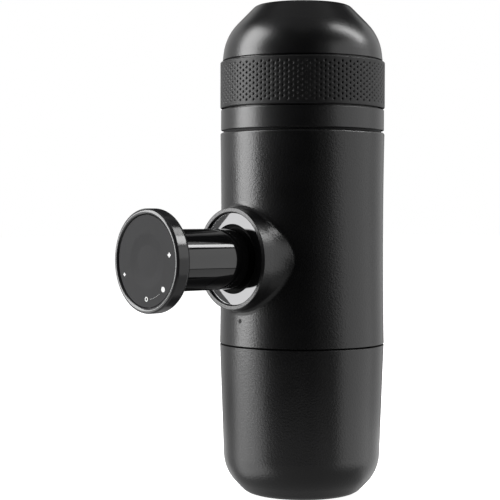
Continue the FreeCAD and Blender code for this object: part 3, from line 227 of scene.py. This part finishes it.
tank_ridge = wound(TANK_NECK, THREAD_OUT, THREAD_HALF, TANK_SEAM + THREAD_END, TANK_NECK_TOP - THREAD_END,
                   turns=1.6, lead=0.12)
piece("tank_thread", [tank_ridge], moulded, "tank", "inner_plastic")

# ------------------------------------------------------------------------------------------------
# Main body: a slightly waisted moulded tube, sprayed satin black, with a flared boss for the pump.
# The boss runs into the tube in a soft fillet, and its mouth ends in a narrow rounded rim. A dark
# groove parts the tube from the tank, and a small air vent lies low on the knob's side; its hole is a flush
# black disc of painted shade.

PUMP = 84.65              # height of the pump's axis
SHELL_TOP = 129.3
SHELL_TOP_ROUND = 0.8     # rounding of the top edge
SHELL_TOP_RADIUS = 29.495                    # outside where that rounding begins
SHELL_BORE = 27.3
LEDGE = 60.96             # where the bulkhead rests
SOCKET = 26.1             # socket of the tank's neck
WAIST = ((TANK_SEAM, 29.6), (92.96, 29.15), (SHELL_TOP, 29.5))           # heights and outside radii
BOSS = 17.79              # outside of the boss
BOSS_FRONT = 33.9
MOUTH = 16.19             # inside of the boss's rim
LIP = 0.35                # rounding of that rim
PLATE_BACK = 32.0
BUSH = 13.6               # bore for bush and wiper
THROAT = 28.0             # where that bore has left the tube's inner wall all round
FLARE_TOP = 29.5          # where the boss's straight outside turns into the flare
FLARE = 17.52             # radius of that hollow flare
STRAIGHT = 2.2            # how far before the flare the rows begin to follow it
BLEND = 2.2               # fillet between boss and tube
GROOVE = 0.35             # height of the groove above the tank
GROOVE_TOP = 28.2         # the groove's roof reaches in to this radius
VENT = 0.8                # radius of the air vent
VENT_HEIGHT = 62.81
VENT_PROUD = 0.03         # its black disc lies this much above the tube


def waisted(height):
    """Outside radius of the tube: the circle through the three points of the waist."""
    (za, ra), (zb, rb), (zc, rc) = WAIST
    lean = np.array([[2 * (rb - ra), 2 * (zb - za)], [2 * (rc - ra), 2 * (zc - za)]])
    square = np.array([rb ** 2 - ra ** 2 + zb ** 2 - za ** 2, rc ** 2 - ra ** 2 + zc ** 2 - za ** 2])
    r0, z0 = np.linalg.solve(lean, square)
    return r0 - np.sqrt((r0 - ra) ** 2 + (za - z0) ** 2 - (height - z0) ** 2)


def laid(radius, along, turn):
    """Point at a radius from the pump's axis, a distance from the body's axis, and a turn from the side."""
    return np.stack([radius * np.cos(turn), -along + 0 * turn, PUMP + radius * np.sin(turn)], -1)


def flare_point(s):
    """Boss profile at s: straight for s below 0 (s is the distance before the flare), and a hollow arc
    after it (s is its angle). Gives radius, distance along the axis, and the outward normal's two parts."""
    arc = np.maximum(s, 0)
    radius = BOSS + FLARE - FLARE * np.cos(arc)
    along = FLARE_TOP - FLARE * np.sin(arc) - np.minimum(s, 0)
    return radius, along, np.cos(arc), np.sin(arc)


def rolled_ball(phi):
    """The fillet is the path of a ball that touches flare and tube. For each ray (its angle round the
    pump's axis) this finds, by halving, where the ball touches the flare. It gives that place, the ball's
    middle, and the ways from there to the two points that it touches."""
    near, far = np.full_like(phi, FLARE_TOP - BOSS_FRONT), np.full_like(phi, 0.7)
    for _ in range(40):
        middle = (near + far) / 2
        r, along, n_r, n_l = flare_point(middle)
        ball_r, ball_l = r + BLEND * n_r, along + BLEND * n_l
        outside = np.hypot(ball_r * np.cos(phi), ball_l) > waisted(PUMP + ball_r * np.sin(phi)) + BLEND
        near, far = np.where(outside, middle, near), np.where(outside, far, middle)
    ball = laid(ball_r, ball_l, phi)
    away = np.hypot(ball[:, 0], ball[:, 1])
    to_tube = -BLEND * np.stack([ball[:, 0] / away, ball[:, 1] / away, 0 * away], -1)
    return middle, ball, laid(r, along, phi) - ball, to_tube


def shell_skin():
    """The tube is unrolled, so that the boss is the middle of a rectangle. Each column of the grid is one
    ray from the pump's axis to a point of the rectangle's edge. Along a ray the rows run from the bore's
    inner sheet through mouth, rim, flare and fillet to the outer sheet. Two plain sheets close the ends."""
    low, high = TANK_SEAM + GROOVE + 0.1, SHELL_TOP - SHELL_TOP_ROUND
    across, upwards = 150, 62
    side = np.linspace(-math.pi, math.pi, across + 1)
    rise = np.linspace(0, 1, upwards + 1)
    theta = np.concatenate([side[:-1], np.full(upwards, math.pi), side[:0:-1], np.full(upwards, -math.pi)])
    share = np.concatenate([np.zeros(across), rise[:-1], np.ones(across), rise[:0:-1]])
    edge_high = low + (high - low) * share
    edge_low = LEDGE + (SHELL_TOP - LEDGE) * share
    phi = np.arctan2(edge_high - PUMP, WAIST[1][1] * theta)
    root, ball, to_boss, to_tube = rolled_ball(phi)
    sweep = np.arccos(np.clip((to_boss * to_tube).sum(-1) / BLEND ** 2, -1, 1))
    rows = []
    deep = np.sqrt(SHELL_BORE ** 2 - (BUSH * np.cos(phi)) ** 2)
    bore_theta, bore_z = np.arctan2(BUSH * np.cos(phi), deep), PUMP + BUSH * np.sin(phi)
    for k in np.linspace(1, 0, 26):
        z = bore_z + (edge_low - bore_z) * k
        rows.append(upright(SHELL_BORE, z, bore_theta + (theta - bore_theta) * k))
    for line in rounded_profile([
            (BUSH, THROAT), (BUSH, PLATE_BACK), (MOUTH, PLATE_BACK), (MOUTH, BOSS_FRONT, LIP),
            (BOSS, BOSS_FRONT, LIP), (BOSS, FLARE_TOP + STRAIGHT)]):
        rows.append(laid(line[0], line[1], phi))
    for k in np.linspace(0, 1, 13)[1:]:
        r_k, along_k, _, _ = flare_point(-STRAIGHT + (root + STRAIGHT) * k)
        rows.append(laid(r_k, along_k, phi))
    for k in np.linspace(0, 1, 9)[1:]:
        part = (np.sin((1 - k) * sweep)[:, None] * to_boss + np.sin(k * sweep)[:, None] * to_tube)
        rows.append(ball + part / np.sin(sweep)[:, None])
    foot_theta, foot_z = np.arctan2(ball[:, 0], -ball[:, 1]), ball[:, 2]
    for k in np.linspace(0, 1, 61)[1:] ** 1.25:
        z = foot_z + (edge_high - foot_z) * k
        rows.append(upright(waisted(z), z, foot_theta + (theta - foot_theta) * k))
    hair = 0.001
    upper = rounded_profile([
        (SHELL_TOP_RADIUS, high - hair), (SHELL_TOP_RADIUS, SHELL_TOP, SHELL_TOP_ROUND - hair),
        (SHELL_BORE, SHELL_TOP)])
    upper[0] = waisted(high), high
    lower = np.array([
        (waisted(low), low), (waisted(low) - 0.1, low - 0.1), (GROOVE_TOP, TANK_SEAM + GROOVE),
        (SEAM_ROOT, TANK_SEAM), (SOCKET, TANK_SEAM), (SOCKET, LEDGE), (SHELL_BORE, LEDGE)])
    return sewn(woven(np.array(rows)),
                woven(upright(upper[::-1, :1], upper[::-1, 1:], side[None, :]), wrap_columns=False),
                woven(upright(lower[:, :1], lower[:, 1:], side[None, :]), wrap_columns=False))


def vent_skin():
    """A black disc in the tube's side, nearly flush, that stands for the air vent's hole: painted shade
    where the hole is dark. Its profile is turned about a line along Y.
    """
    line = rounded_profile([(0, -0.3), (VENT, -0.3), (VENT, VENT_PROUD - 0.01), (VENT - 0.06, VENT_PROUD),
                            (0, VENT_PROUD)])
    turn = np.linspace(0, 2 * math.pi, 24, endpoint=False)[None, :]
    return sewn(woven(np.stack([
        line[:, :1] * np.cos(turn), -(waisted(VENT_HEIGHT) + line[:, 1:] + 0 * turn),
        VENT_HEIGHT + line[:, :1] * np.sin(turn)], -1)))


piece("body_shell", [shell_skin()], satin_paint, "main", "body_paint", "main_shell")
# The air vent's hole is painted shade: a near-black disc lying flush on the tube, not a real opening.
vent_hole_painted_shade = finish("vent_hole_painted_shade", (0.002, 0.002, 0.002), 0.8, 0.0005, 0.00001)
piece("air_vent", [vent_skin()], vent_hole_painted_shade, "main", "seal_rubber")

# ------------------------------------------------------------------------------------------------
# Boss fittings: a polished ring, very slightly crowned, lies in the mouth. A black rubber wiper
# closes it on the shaft.

PLATE = 16.09             # outside of the ring
PLATE_HOLE = 12.097
PLATE_FRONT = 33.0
CROWN = 0.085             # how far the ring's front falls back at its rim
CROWN_START = 12.1        # radius where it begins to fall back
WIPER_BACK = 30.0
WIPER_BORE = 10.55
polished = finish("polished_plate", (0.76, 0.76, 0.77), 0.02, 0.002, 0.0000006, drift=0.03, Metallic=1.0)
crown = [(r, PLATE_FRONT - CROWN * ((r - CROWN_START) / (PLATE - CROWN_START)) ** 3)
         for r in np.linspace(15.7, 12.4, 14)]
plate_line = rounded_profile([
    (PLATE_HOLE, PLATE_BACK), (PLATE, PLATE_BACK), (PLATE, PLATE_FRONT - CROWN, 0.25), *crown,
    (PLATE_HOLE, PLATE_FRONT, 0.08)], closed=True)
collar_ring = piece("collar_ring", [turned_skin(plate_line, laid, closed=True)], polished, "main",
                    "mirror_plate", "collar_plate")
wiper_rubber = finish("wiper_black_rubber", (0.002, 0.002, 0.002), 0.85, 0.0004, 0.00001,
                      Specular_IOR_Level=0.2)
wiper_line = rounded_profile([
    (WIPER_BORE, WIPER_BACK), (BUSH, WIPER_BACK), (BUSH, PLATE_BACK), (12.0, PLATE_BACK, 0.3),
    (10.9, PLATE_BACK - 0.6, 0.3), (WIPER_BORE, PLATE_BACK - 0.1, 0.1)], closed=True)
piece("wiper_ring", [turned_skin(wiper_line, laid, closed=True)], wiper_rubber, "main", "seal_rubber",
      "shaft_wiper")

# ------------------------------------------------------------------------------------------------
# Shaft: a moulded glossy black tube with two bayonet lugs at its hidden end, pressed into the knob.
# The knob is glossy too, with a rounded rim; the disc in its front is matte, with a shallow dish.

SHAFT, SHAFT_BORE = 10.497, 9.097
SHAFT_BACK, SHAFT_FRONT = 18.4, 66.05
LUGS = 12.597             # outside of the lugs
LUG_ROOT = 0.3            # how deep a lug's root sits in the shaft
LUG_FRONT = 21.3
LUG_HALF = math.radians(18)
KNOB = 17.49              # outside of the knob
KNOB_BACK, KNOB_FRONT = 64.9, 70.85
RIM = 2.0                 # width of the rim round the disc
BEAD = 0.979              # rounding of that rim, a hair less than half its width
SCREW_HOLE, SCREW_SINK = 2.45, 4.3
SCREW_SEAT = 67.25
DISC = 15.39              # outside of the disc
DISC_BACK = 68.5
FACE = 70.23              # the disc's surface
DISH, DISH_FLOOR, DISH_DEPTH = 9.2, 5.5, 0.45                # radii of its edge and floor, depth


def lug_skin(centre):
    """A block of a ring: its four long faces are swept through the lug's angle, and a cap closes the end
    where the sweep starts. The other end has no cap; it lies inside the boss, where no view shows it."""
    turn = centre + np.linspace(-LUG_HALF, LUG_HALF, 13)[None, :]
    loop = np.array([(SHAFT - LUG_ROOT, SHAFT_BACK), (LUGS, SHAFT_BACK), (LUGS, LUG_FRONT),
                     (SHAFT - LUG_ROOT, LUG_FRONT)])
    body = laid(loop[:, :1], loop[:, 1:], turn)
    middle = np.repeat(body[:, :1].mean(0, keepdims=True), len(loop), 0)
    cap_points, cap_faces = woven(np.concatenate([body[:, :1], middle], 1), True, False)
    return sewn(woven(body, True, False), (cap_points, cap_faces[:, ::-1]))


shaft_gloss = finish("shaft_gloss_black", (0.006, 0.006, 0.0065), 0.05, 0.004, 0.0000015, drift=0.1,
                     Specular_IOR_Level=0.6)
shaft_line = rounded_profile([
    (SHAFT_BORE, SHAFT_BACK), (SHAFT, SHAFT_BACK, 0.2), (SHAFT, SHAFT_FRONT), (SHAFT_BORE, SHAFT_FRONT)],
    closed=True)
shaft_skins = [turned_skin(shaft_line, laid, closed=True), lug_skin(math.pi / 2), lug_skin(-math.pi / 2)]
pump_shaft = piece("pump_shaft", shaft_skins, shaft_gloss, "handle", "shaft_gloss", "shaft_sleeve")
knob_gloss = finish("knob_gloss_black", (0.02, 0.02, 0.021), 0.16, 0.0004, 0.000003, drift=0.1)
knob_line = rounded_profile([
    (SCREW_HOLE, SHAFT_FRONT), (SHAFT, SHAFT_FRONT), (SHAFT, KNOB_BACK), (KNOB - 0.05, KNOB_BACK, 1.7),
    (KNOB, KNOB_FRONT, BEAD), (KNOB - RIM, KNOB_FRONT, BEAD), (KNOB - RIM, DISC_BACK),
    (SCREW_SINK, DISC_BACK), (SCREW_SINK, SCREW_SEAT), (SCREW_HOLE, SCREW_SEAT)], closed=True)
push_knob = piece("push_knob", [turned_skin(knob_line, laid, closed=True)], knob_gloss, "handle",
                  "knob_gloss", "knob")
face_matte = finish("face_matte_grey", (0.024, 0.024, 0.025), 0.6, 0.0003, 0.00001, drift=0.08,
                    Specular_IOR_Level=0.1)
face_line = rounded_profile([
    (0, DISC_BACK), (DISC, DISC_BACK), (DISC, FACE, 0.12), (DISH, FACE, 8.0),
    (DISH_FLOOR, FACE - DISH_DEPTH, 8.0), (0, FACE - DISH_DEPTH)])
piece("knob_disc", [turned_skin(face_line, laid)], face_matte, "handle", "face_matte", "knob_face")

# ------------------------------------------------------------------------------------------------
# Marks printed on the disc: a filled dot for one end of the turn and a ring for the other, a row of
# fine dots between them, and two small stars.

INK = 0.03                # thickness of a printed mark
DOT_ROW = 12.65           # radius of the row of fine dots


def printed(outline, across, up):
    """A printed mark: its outline (x to the right, y up) moved to its place on the disc, as a thin slab.
    An outline of two rows is a ring, from inner to outer edge; one row is filled from its middle."""
    outline = np.asarray(outline, float)
    if outline.ndim == 2:
        outline = np.stack([0 * outline, outline])
    low, high = FACE - 0.01, FACE + INK
    x, z = across + outline[..., 0], up + outline[..., 1] + PUMP
    loop = [np.stack([x[edge], -along + 0 * x[edge], z[edge]], -1)
            for edge, along in ((0, low), (1, low), (1, high), (0, high))]
    return sewn(woven(np.stack(loop), wrap_rows=True))


def ring_of(radius, points=24):
    """Points round a circle."""
    turn = np.linspace(0, 2 * math.pi, points, endpoint=False)
    return np.stack([radius * np.cos(turn), radius * np.sin(turn)], -1)


def star_of(radius):
    """Points round a fat four-pointed star: the radius swings between its tips and three fifths of that."""
    turn = np.linspace(0, 2 * math.pi, 32, endpoint=False)
    reach = radius * (0.6 + 0.4 * np.abs(np.cos(2 * turn)) ** 1.5)
    return np.stack([reach * np.cos(turn), reach * np.sin(turn)], -1)


white_ink = finish("white_ink", (0.62, 0.62, 0.62), 0.5, 0.0002, 0.000002, drift=0.05)
marks = [printed(star_of(0.85), 12.25, 2.36), printed(star_of(0.66), -12.19, -4.78),
         printed(ring_of(0.92), 8.99, -8.98), printed([ring_of(0.48), ring_of(0.8)], -0.03, -12.6)]
for bearing in np.radians(np.linspace(-80, -57, 7)):
    marks.append(printed(ring_of(0.11, 8), DOT_ROW * math.cos(bearing), DOT_ROW * math.sin(bearing)))
piece("knob_marks", marks, white_ink, "handle", "face_matte")

# ------------------------------------------------------------------------------------------------
# Outlet head: a screwed cap with a plain satin band, a deck with the spout, and a core for the grip.
# The grip is a knurled rubber ring with rows of small pressed diamonds.

HEAD_BOTTOM = 130.1
HEAD_BORE = 26.2          # bore over the threaded neck
HEAD_SEAL = 145.0         # where that bore ends on its seal
SKIRT, SKIRT_BORE = 21.4, 19.9               # the skirt that holds the basket down
SKIRT_BOTTOM = 129.5
BAND = 29.3               # outside of the plain band
BAND_TOP = 137.5
CORE = 27.7               # core under the grip
DECK_BOTTOM, DECK_TOP = 147.0, 149.0
SPOUT_ROOT, SPOUT, SPOUT_BORE = 4.5, 3.0, 1.5                # radii at its foot, at its end and inside
SPOUT_TOP = 154.0
CUP_SOCKET = 25.4
CUP_SEAM = 155.1          # joint line of head and cup
EDGE = 0.3                # small rounding on joint lines
GRIP = 29.55              # outside of the grip
GRIP_BOTTOM, GRIP_TOP = 138.0, 154.6
GRIP_ROUND = 0.5
DIAMONDS = 58             # diamonds in one row
DIAMOND_PITCH = 1.86      # from one row to the next but one, which stands right above it
DIAMOND_WIDE, DIAMOND_HIGH, DIAMOND_DEEP = 0.5, 0.65, 0.42   # half width, half height, depth
head_line = rounded_profile([
    (SPOUT_BORE, DECK_BOTTOM), (SKIRT_BORE, DECK_BOTTOM), (SKIRT_BORE, SKIRT_BOTTOM), (SKIRT, SKIRT_BOTTOM),
    (SKIRT, HEAD_SEAL), (HEAD_BORE, HEAD_SEAL), (HEAD_BORE, HEAD_BOTTOM), (BAND, HEAD_BOTTOM, EDGE),
    (BAND, BAND_TOP, EDGE), (CORE, BAND_TOP), (CORE, CUP_SEAM), (CUP_SOCKET, CUP_SEAM),
    (CUP_SOCKET, DECK_TOP), (SPOUT_ROOT, DECK_TOP, 0.6), (SPOUT, SPOUT_TOP, 0.5), (SPOUT_BORE, SPOUT_TOP)],
    closed=True)
band_paint = finish("band_satin_black", SATIN_BLACK, 0.33, 0.0007, 0.00004)
piece("outlet_cap", [turned_skin(head_line, closed=True)], band_paint, "head", "body_paint", "outlet_head")


def knurled_skin():
    """A ring whose outside is pressed in at two staggered sets of diamonds, eight rows and seven. Depth
    falls off in a straight slope from each diamond's middle: 1 - across/half width - up/half height,
    never below nothing."""
    turn = np.linspace(0, 2 * math.pi, DIAMONDS * 12, endpoint=False)[None, :]
    middle = (GRIP_BOTTOM + GRIP_TOP) / 2
    inside = rounded_profile([
        (CORE, GRIP_TOP), (CORE, GRIP_BOTTOM), (GRIP, GRIP_BOTTOM, GRIP_ROUND), (GRIP, middle)])[:-2]
    rise = middle + DIAMOND_PITCH * np.linspace(-4, 4, 81)[:, None]
    over = rounded_profile([(GRIP, middle), (GRIP, GRIP_TOP, GRIP_ROUND), (CORE, GRIP_TOP)])[2:]
    pressed = np.zeros((rise.shape[0], turn.shape[1]))
    for shift in (0.0, 0.5):
        column = (turn / (2 * math.pi) * DIAMONDS + shift + 0.5) % 1 - 0.5
        row = ((rise - middle) / DIAMOND_PITCH + shift) % 1 - 0.5
        across = np.abs(column) * 2 * math.pi * GRIP / DIAMONDS
        up = np.abs(row) * DIAMOND_PITCH
        depth = np.clip(1 - across / DIAMOND_WIDE - up / DIAMOND_HIGH, 0, 1)
        in_rows = np.abs(rise - middle) < DIAMOND_PITCH * (4 - shift)
        pressed = np.maximum(pressed, depth * in_rows)
    outside = upright(GRIP - DIAMOND_DEEP * pressed, rise + 0 * turn, turn)
    rows = [upright(inside[:, :1], inside[:, 1:], turn), outside, upright(over[:, :1], over[:, 1:], turn)]
    return sewn(woven(np.concatenate(rows), wrap_rows=True))


grip_rubber = finish("grip_rubber", (0.007, 0.007, 0.0073), 0.45, 0.0004, 0.00001, Specular_IOR_Level=0.3)
piece("knurled_grip", [knurled_skin()], grip_rubber, "head", "grip_rubber", "grip_ring")

# ------------------------------------------------------------------------------------------------
# Cup: a flat-topped dome; turned over, it is the drinking cup. Satin black outside and inside.
# Its neck plugs into the head over the stowed scoop.

CUP_TOP = 175.0
CUP_FLAT = 16.74          # corner between the flat top and the dome
CUP_SHOULDER, CUP_SHOULDER_HEIGHT = 27.76, 163.77        # corner between dome and side
CUP_RIM = 28.73           # outside at the joint line
CUP_WALL = 2.0
CUP_NECK, CUP_NECK_BORE = 25.1, 23.3
CUP_NECK_END = 149.8
cup_line = rounded_profile([
    (0, CUP_TOP), (CUP_FLAT, CUP_TOP, 3.74), (CUP_SHOULDER, CUP_SHOULDER_HEIGHT, 17.74),
    (CUP_RIM, CUP_SEAM, EDGE), (CUP_NECK, CUP_SEAM), (CUP_NECK, CUP_NECK_END),
    (CUP_NECK_BORE, CUP_NECK_END), (CUP_NECK_BORE, CUP_SEAM + CUP_WALL),
    (CUP_SHOULDER - CUP_WALL, CUP_SEAM + CUP_WALL),
    (CUP_SHOULDER - CUP_WALL, CUP_SHOULDER_HEIGHT - CUP_WALL / 2, 7.0),
    (CUP_FLAT - CUP_WALL / 2, CUP_TOP - CUP_WALL), (0, CUP_TOP - CUP_WALL)])
cup_paint = finish("cup_satin_black", SATIN_BLACK, 0.29, 0.0007, 0.00003)
piece("dome_cup", [turned_skin(cup_line)], cup_paint, "cup", "cup_paint", "cup")

# ------------------------------------------------------------------------------------------------
# Springs: steel wire. The return spring lies round the barrel and shortens as the piston goes in; two
# hair springs hold the valve balls on their seats.

COIL, COIL_WIRE = 7.85, 0.45                 # mean radius of the return spring, half its wire
COIL_TURNS = 12
SPRING_BACK, SPRING_FRONT = -12.2, 64.4      # its ends along the pump's axis
VALVES = 16.5                                # how far behind the body's axis the valves stand
HAIR, HAIR_WIRE = 1.7, 0.175                 # mean radius of a hair spring, half its wire
spring_steel = finish("spring_steel", (0.52, 0.52, 0.53), 0.25, 0.0008, 0.000002, Metallic=1.0)


def over_valve(radius, height, turn):
    """Point at a radius from the valves' upright axis."""
    return np.stack([radius * np.cos(turn), VALVES + radius * np.sin(turn), height + 0 * turn], -1)


coil = wound(COIL, COIL_WIRE, COIL_WIRE, SPRING_BACK + COIL_WIRE, SPRING_FRONT - COIL_WIRE, COIL_TURNS, laid)
return_coil = piece("return_coil", [coil], spring_steel, "main", "steel", "return_spring")
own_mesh(return_coil)
for valve, start, end in (("inlet", 79.83, 86.2), ("outlet", 91.33, 95.6)):
    hair = wound(HAIR, HAIR_WIRE, HAIR_WIRE, start + HAIR_WIRE, end - HAIR_WIRE, end - start, over_valve)
    hair_spring = piece(valve + "_hair_spring", [hair], spring_steel, "main", "steel",
                        valve + "_valve_spring")
    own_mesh(hair_spring)

# ------------------------------------------------------------------------------------------------
# Hidden works: moulded carrier parts, steel posts and screws, acetal bearings. They show only when the
# maker is opened. The neck that the head screws on gets the ridge of its thread.

GROUP_NECK = 25.9                            # outside of the group head's neck
GROUP_THREAD_LOW, GROUP_THREAD_HIGH = 132.2, 141.6
neck_ridge = wound(GROUP_NECK, THREAD_OUT, THREAD_HALF, GROUP_THREAD_LOW, GROUP_THREAD_HIGH, turns=2.6,
                   lead=0.08)
piece("neck_thread", [neck_ridge], moulded, "main", "inner_plastic")
works = {
    "steel": finish("turned_steel", (0.56, 0.56, 0.57), 0.28, 0.0006, 0.000002, Metallic=1.0),
    "inner_plastic": moulded,
    "bush_plastic": finish("acetal", (0.62, 0.61, 0.58), 0.35, 0.0006, 0.000004),
    "seal_rubber": finish("seal_rubber", (0.014, 0.014, 0.014), 0.6, 0.0005, 0.00001),
    "scoop_plastic": finish("scoop_plastic", (0.02, 0.02, 0.02), 0.35, 0.0006, 0.000006)}
for row in frame["record"]["subparts"]:
    node = frame["nodes"][row["node"]]
    if not node.hide_render:
        node.material_slots[0].material = works[row["material_slot"]]

# ------------------------------------------------------------------------------------------------
# Floor and room: a plain white floor with a light of its own, and a white backdrop that only the
# camera sees, so that the room adds no more than a dim even light to the maker.

bpy.context.scene.view_settings.view_transform = "Standard"
FLOOR_HALF = 4            # metres from its middle to its edge
corners = [(-FLOOR_HALF, -FLOOR_HALF, 0), (FLOOR_HALF, -FLOOR_HALF, 0), (FLOOR_HALF, FLOOR_HALF, 0),
           (-FLOOR_HALF, FLOOR_HALF, 0)]
floor_mesh = bpy.data.meshes.new("floor")
floor_mesh.from_pydata(corners, [], [(0, 1, 2, 3)])
floor = bpy.data.objects.new("floor", floor_mesh)
bpy.context.scene.collection.objects.link(floor)
floor_white = finish("floor_white", (0.8, 0.8, 0.8), 0.9, 0.01, 0.00001, drift=0.01,
                     Emission_Color=(1, 1, 1, 1), Emission_Strength=0.92)
floor_mesh.materials.append(floor_white)
floor.visible_diffuse = False
floor.visible_glossy = False
floor.visible_shadow = False

world = bpy.data.worlds.new("studio")
world.use_nodes = True
sky = world.node_tree
seen = sky.nodes.new("ShaderNodeLightPath")
white = sky.nodes.new("ShaderNodeBackground")
white.inputs["Color"].default_value = (1, 1, 1, 1)
room = sky.nodes["Background"]
room.inputs["Color"].default_value = (1, 1, 1, 1)
room.inputs["Strength"].default_value = 0.014
mix = sky.nodes.new("ShaderNodeMixShader")
sky.links.new(seen.outputs["Is Camera Ray"], mix.inputs["Fac"])
sky.links.new(room.outputs["Background"], mix.inputs[1])
sky.links.new(white.outputs["Background"], mix.inputs[2])
sky.links.new(mix.outputs["Shader"], sky.nodes["World Output"].inputs["Surface"])
bpy.context.scene.world = world

# ------------------------------------------------------------------------------------------------
# Lights: softboxes round the maker. On the left a tall bright one over a low one, on the right a
# broad pair under a slanting strip, and weak ones behind, above and below. The pieces that shine
# most, ring, shaft and knob, leave out some of these and have small cards of their own instead.

LIT_HEIGHT = 0.09         # every softbox looks at the body's axis at this height, in metres


def softbox(name, azimuth, elevation, width, height, power, roll=0.0, reach=0.9):
    """A rectangular light that looks at the middle of the maker. Azimuth runs from the knob's side towards
    +X; roll turns the light about the line that it looks along. All angles are in degrees, lengths in
    metres and powers in watts."""
    a, e = math.radians(azimuth), math.radians(elevation)
    away = Vector((math.sin(a) * math.cos(e), -math.cos(a) * math.cos(e), math.sin(e)))
    light = bpy.data.lights.new(name, "AREA")
    light.shape = "RECTANGLE"
    light.size, light.size_y, light.energy = width, height, power
    lamp = bpy.data.objects.new(name, light)
    lamp.rotation_mode = "QUATERNION"
    lamp.location = Vector((0, 0, LIT_HEIGHT)) + away * reach
    lamp.rotation_quaternion = (-away).to_track_quat("-Z", "Y") @ Quaternion((0, 0, 1), math.radians(roll))
    lamp.visible_camera = False
    bpy.context.scene.collection.objects.link(lamp)
    return lamp


def lit_apart(lamps, targets, state):
    """Lets lamps light only these pieces, or everything but them."""
    for lamp in lamps:
        group = bpy.data.collections.new(lamp.name + "_on")
        for target in targets:
            group.objects.link(target)
        for entry in group.collection_objects:
            entry.light_linking.link_state = state
        lamp.light_linking.receiver_collection = group


left_box = softbox("left_box", -38, 22, 0.53, 1.02, 16.5)
left_low = softbox("left_low", -36, -26, 0.9, 0.6, 3.9)
right_box = softbox("right_box", 123.5, 15.4, 1.17, 0.557, 3.1)
right_low = softbox("right_low", 131, -13.2, 0.957, 0.363, 1.65)
softbox("right_fade", 78, 4, 0.3, 0.98, 0.12)
right_strip = softbox("right_strip", 139.3, 44.6, 0.615, 0.18, 4.4, roll=-57.9)
softbox("top_box", 0, 90, 1.0, 1.0, 0.6)
softbox("left_back", -105, 5, 0.4, 1.2, 1.1)
softbox("left_fill", -79, 12, 0.42, 0.84, 0.65)
softbox("right_back", 182, 0, 0.85, 1.3, 2.8)
floor_glow = softbox("floor_glow", 0, -90, 0.3, 0.3, 0.11, reach=0.0895)
shaft_cards = [
    softbox("side_card", 125, 4, 1.17, 0.98, 5.2),
    softbox("strip_card", 139.3, 43.4, 0.615, 0.13, 2.6, roll=-57.9),
    softbox("top_card", 148, 46.5, 0.7, 0.17, 0.5), softbox("low_card", 140, -36.9, 0.6, 0.33, 0.48)]
knob_cards = [
    softbox("knob_top", 152, 50, 0.4, 0.14, 1.0), softbox("knob_strip", 135.5, 37, 0.5, 0.22, 3.6),
    softbox("knob_side", 125.5, 16, 0.8, 0.32, 1.2), softbox("knob_low", 126, -9, 0.8, 0.5, 1.07)]
plate_cards = [
    softbox("plate_card", -41.95, 0, 0.224, 0.8, 0.44), softbox("grey_card", -58.55, 0, 0.3, 0.8, 0.054)]
lit_apart([left_box, left_low], [collar_ring, pump_shaft], "EXCLUDE")
lit_apart([right_box, right_low, right_strip], [pump_shaft, push_knob], "EXCLUDE")
lit_apart([floor_glow], [pump_shaft, collar_ring], "EXCLUDE")
lit_apart(plate_cards, [collar_ring, pump_shaft], "INCLUDE")
lit_apart(shaft_cards, [pump_shaft], "INCLUDE")
lit_apart(knob_cards, [push_knob], "INCLUDE")
day = bpy.data.lights.new("floor_sun", "SUN")
day.energy, day.angle = 0.5, math.radians(60)
floor_sun = bpy.data.objects.new("floor_sun", day)
bpy.context.scene.collection.objects.link(floor_sun)
lit_apart([floor_sun], [floor], "INCLUDE")

# ------------------------------------------------------------------------------------------------
# Camera: it stands at about the height of the boss, turned round the maker from the knob's side, and
# looks very slightly down.

STAND_TURN, STAND_AWAY, STAND_HEIGHT = math.radians(47), 0.5405, 0.10204
PITCH, YAW, ROLL = math.radians(1.5773), math.radians(-1.9904), math.radians(0.1233)
SENSOR, LENS = 36, 107.7
ahead = np.array([math.sin(YAW) * math.cos(PITCH), math.cos(YAW) * math.cos(PITCH), -math.sin(PITCH)])
right = np.array([math.cos(YAW), -math.sin(YAW), 0.0])
over = np.cross(right, ahead)
axes = np.stack([math.cos(ROLL) * right + math.sin(ROLL) * over,
                 -math.sin(ROLL) * right + math.cos(ROLL) * over, -ahead], 1)
swing = np.array([[math.cos(STAND_TURN), -math.sin(STAND_TURN), 0],
                  [math.sin(STAND_TURN), math.cos(STAND_TURN), 0], [0, 0, 1]])
pose = np.eye(4)
pose[:3, :3] = swing @ axes
pose[:3, 3] = swing @ np.array([0, -STAND_AWAY, STAND_HEIGHT])
camera = bpy.data.objects.new("camera", bpy.data.cameras.new("camera"))
camera.data.sensor_width = SENSOR
camera.data.lens = LENS
camera.matrix_world = Matrix(pose.tolist())
bpy.context.scene.collection.objects.link(camera)
bpy.context.scene.camera = camera
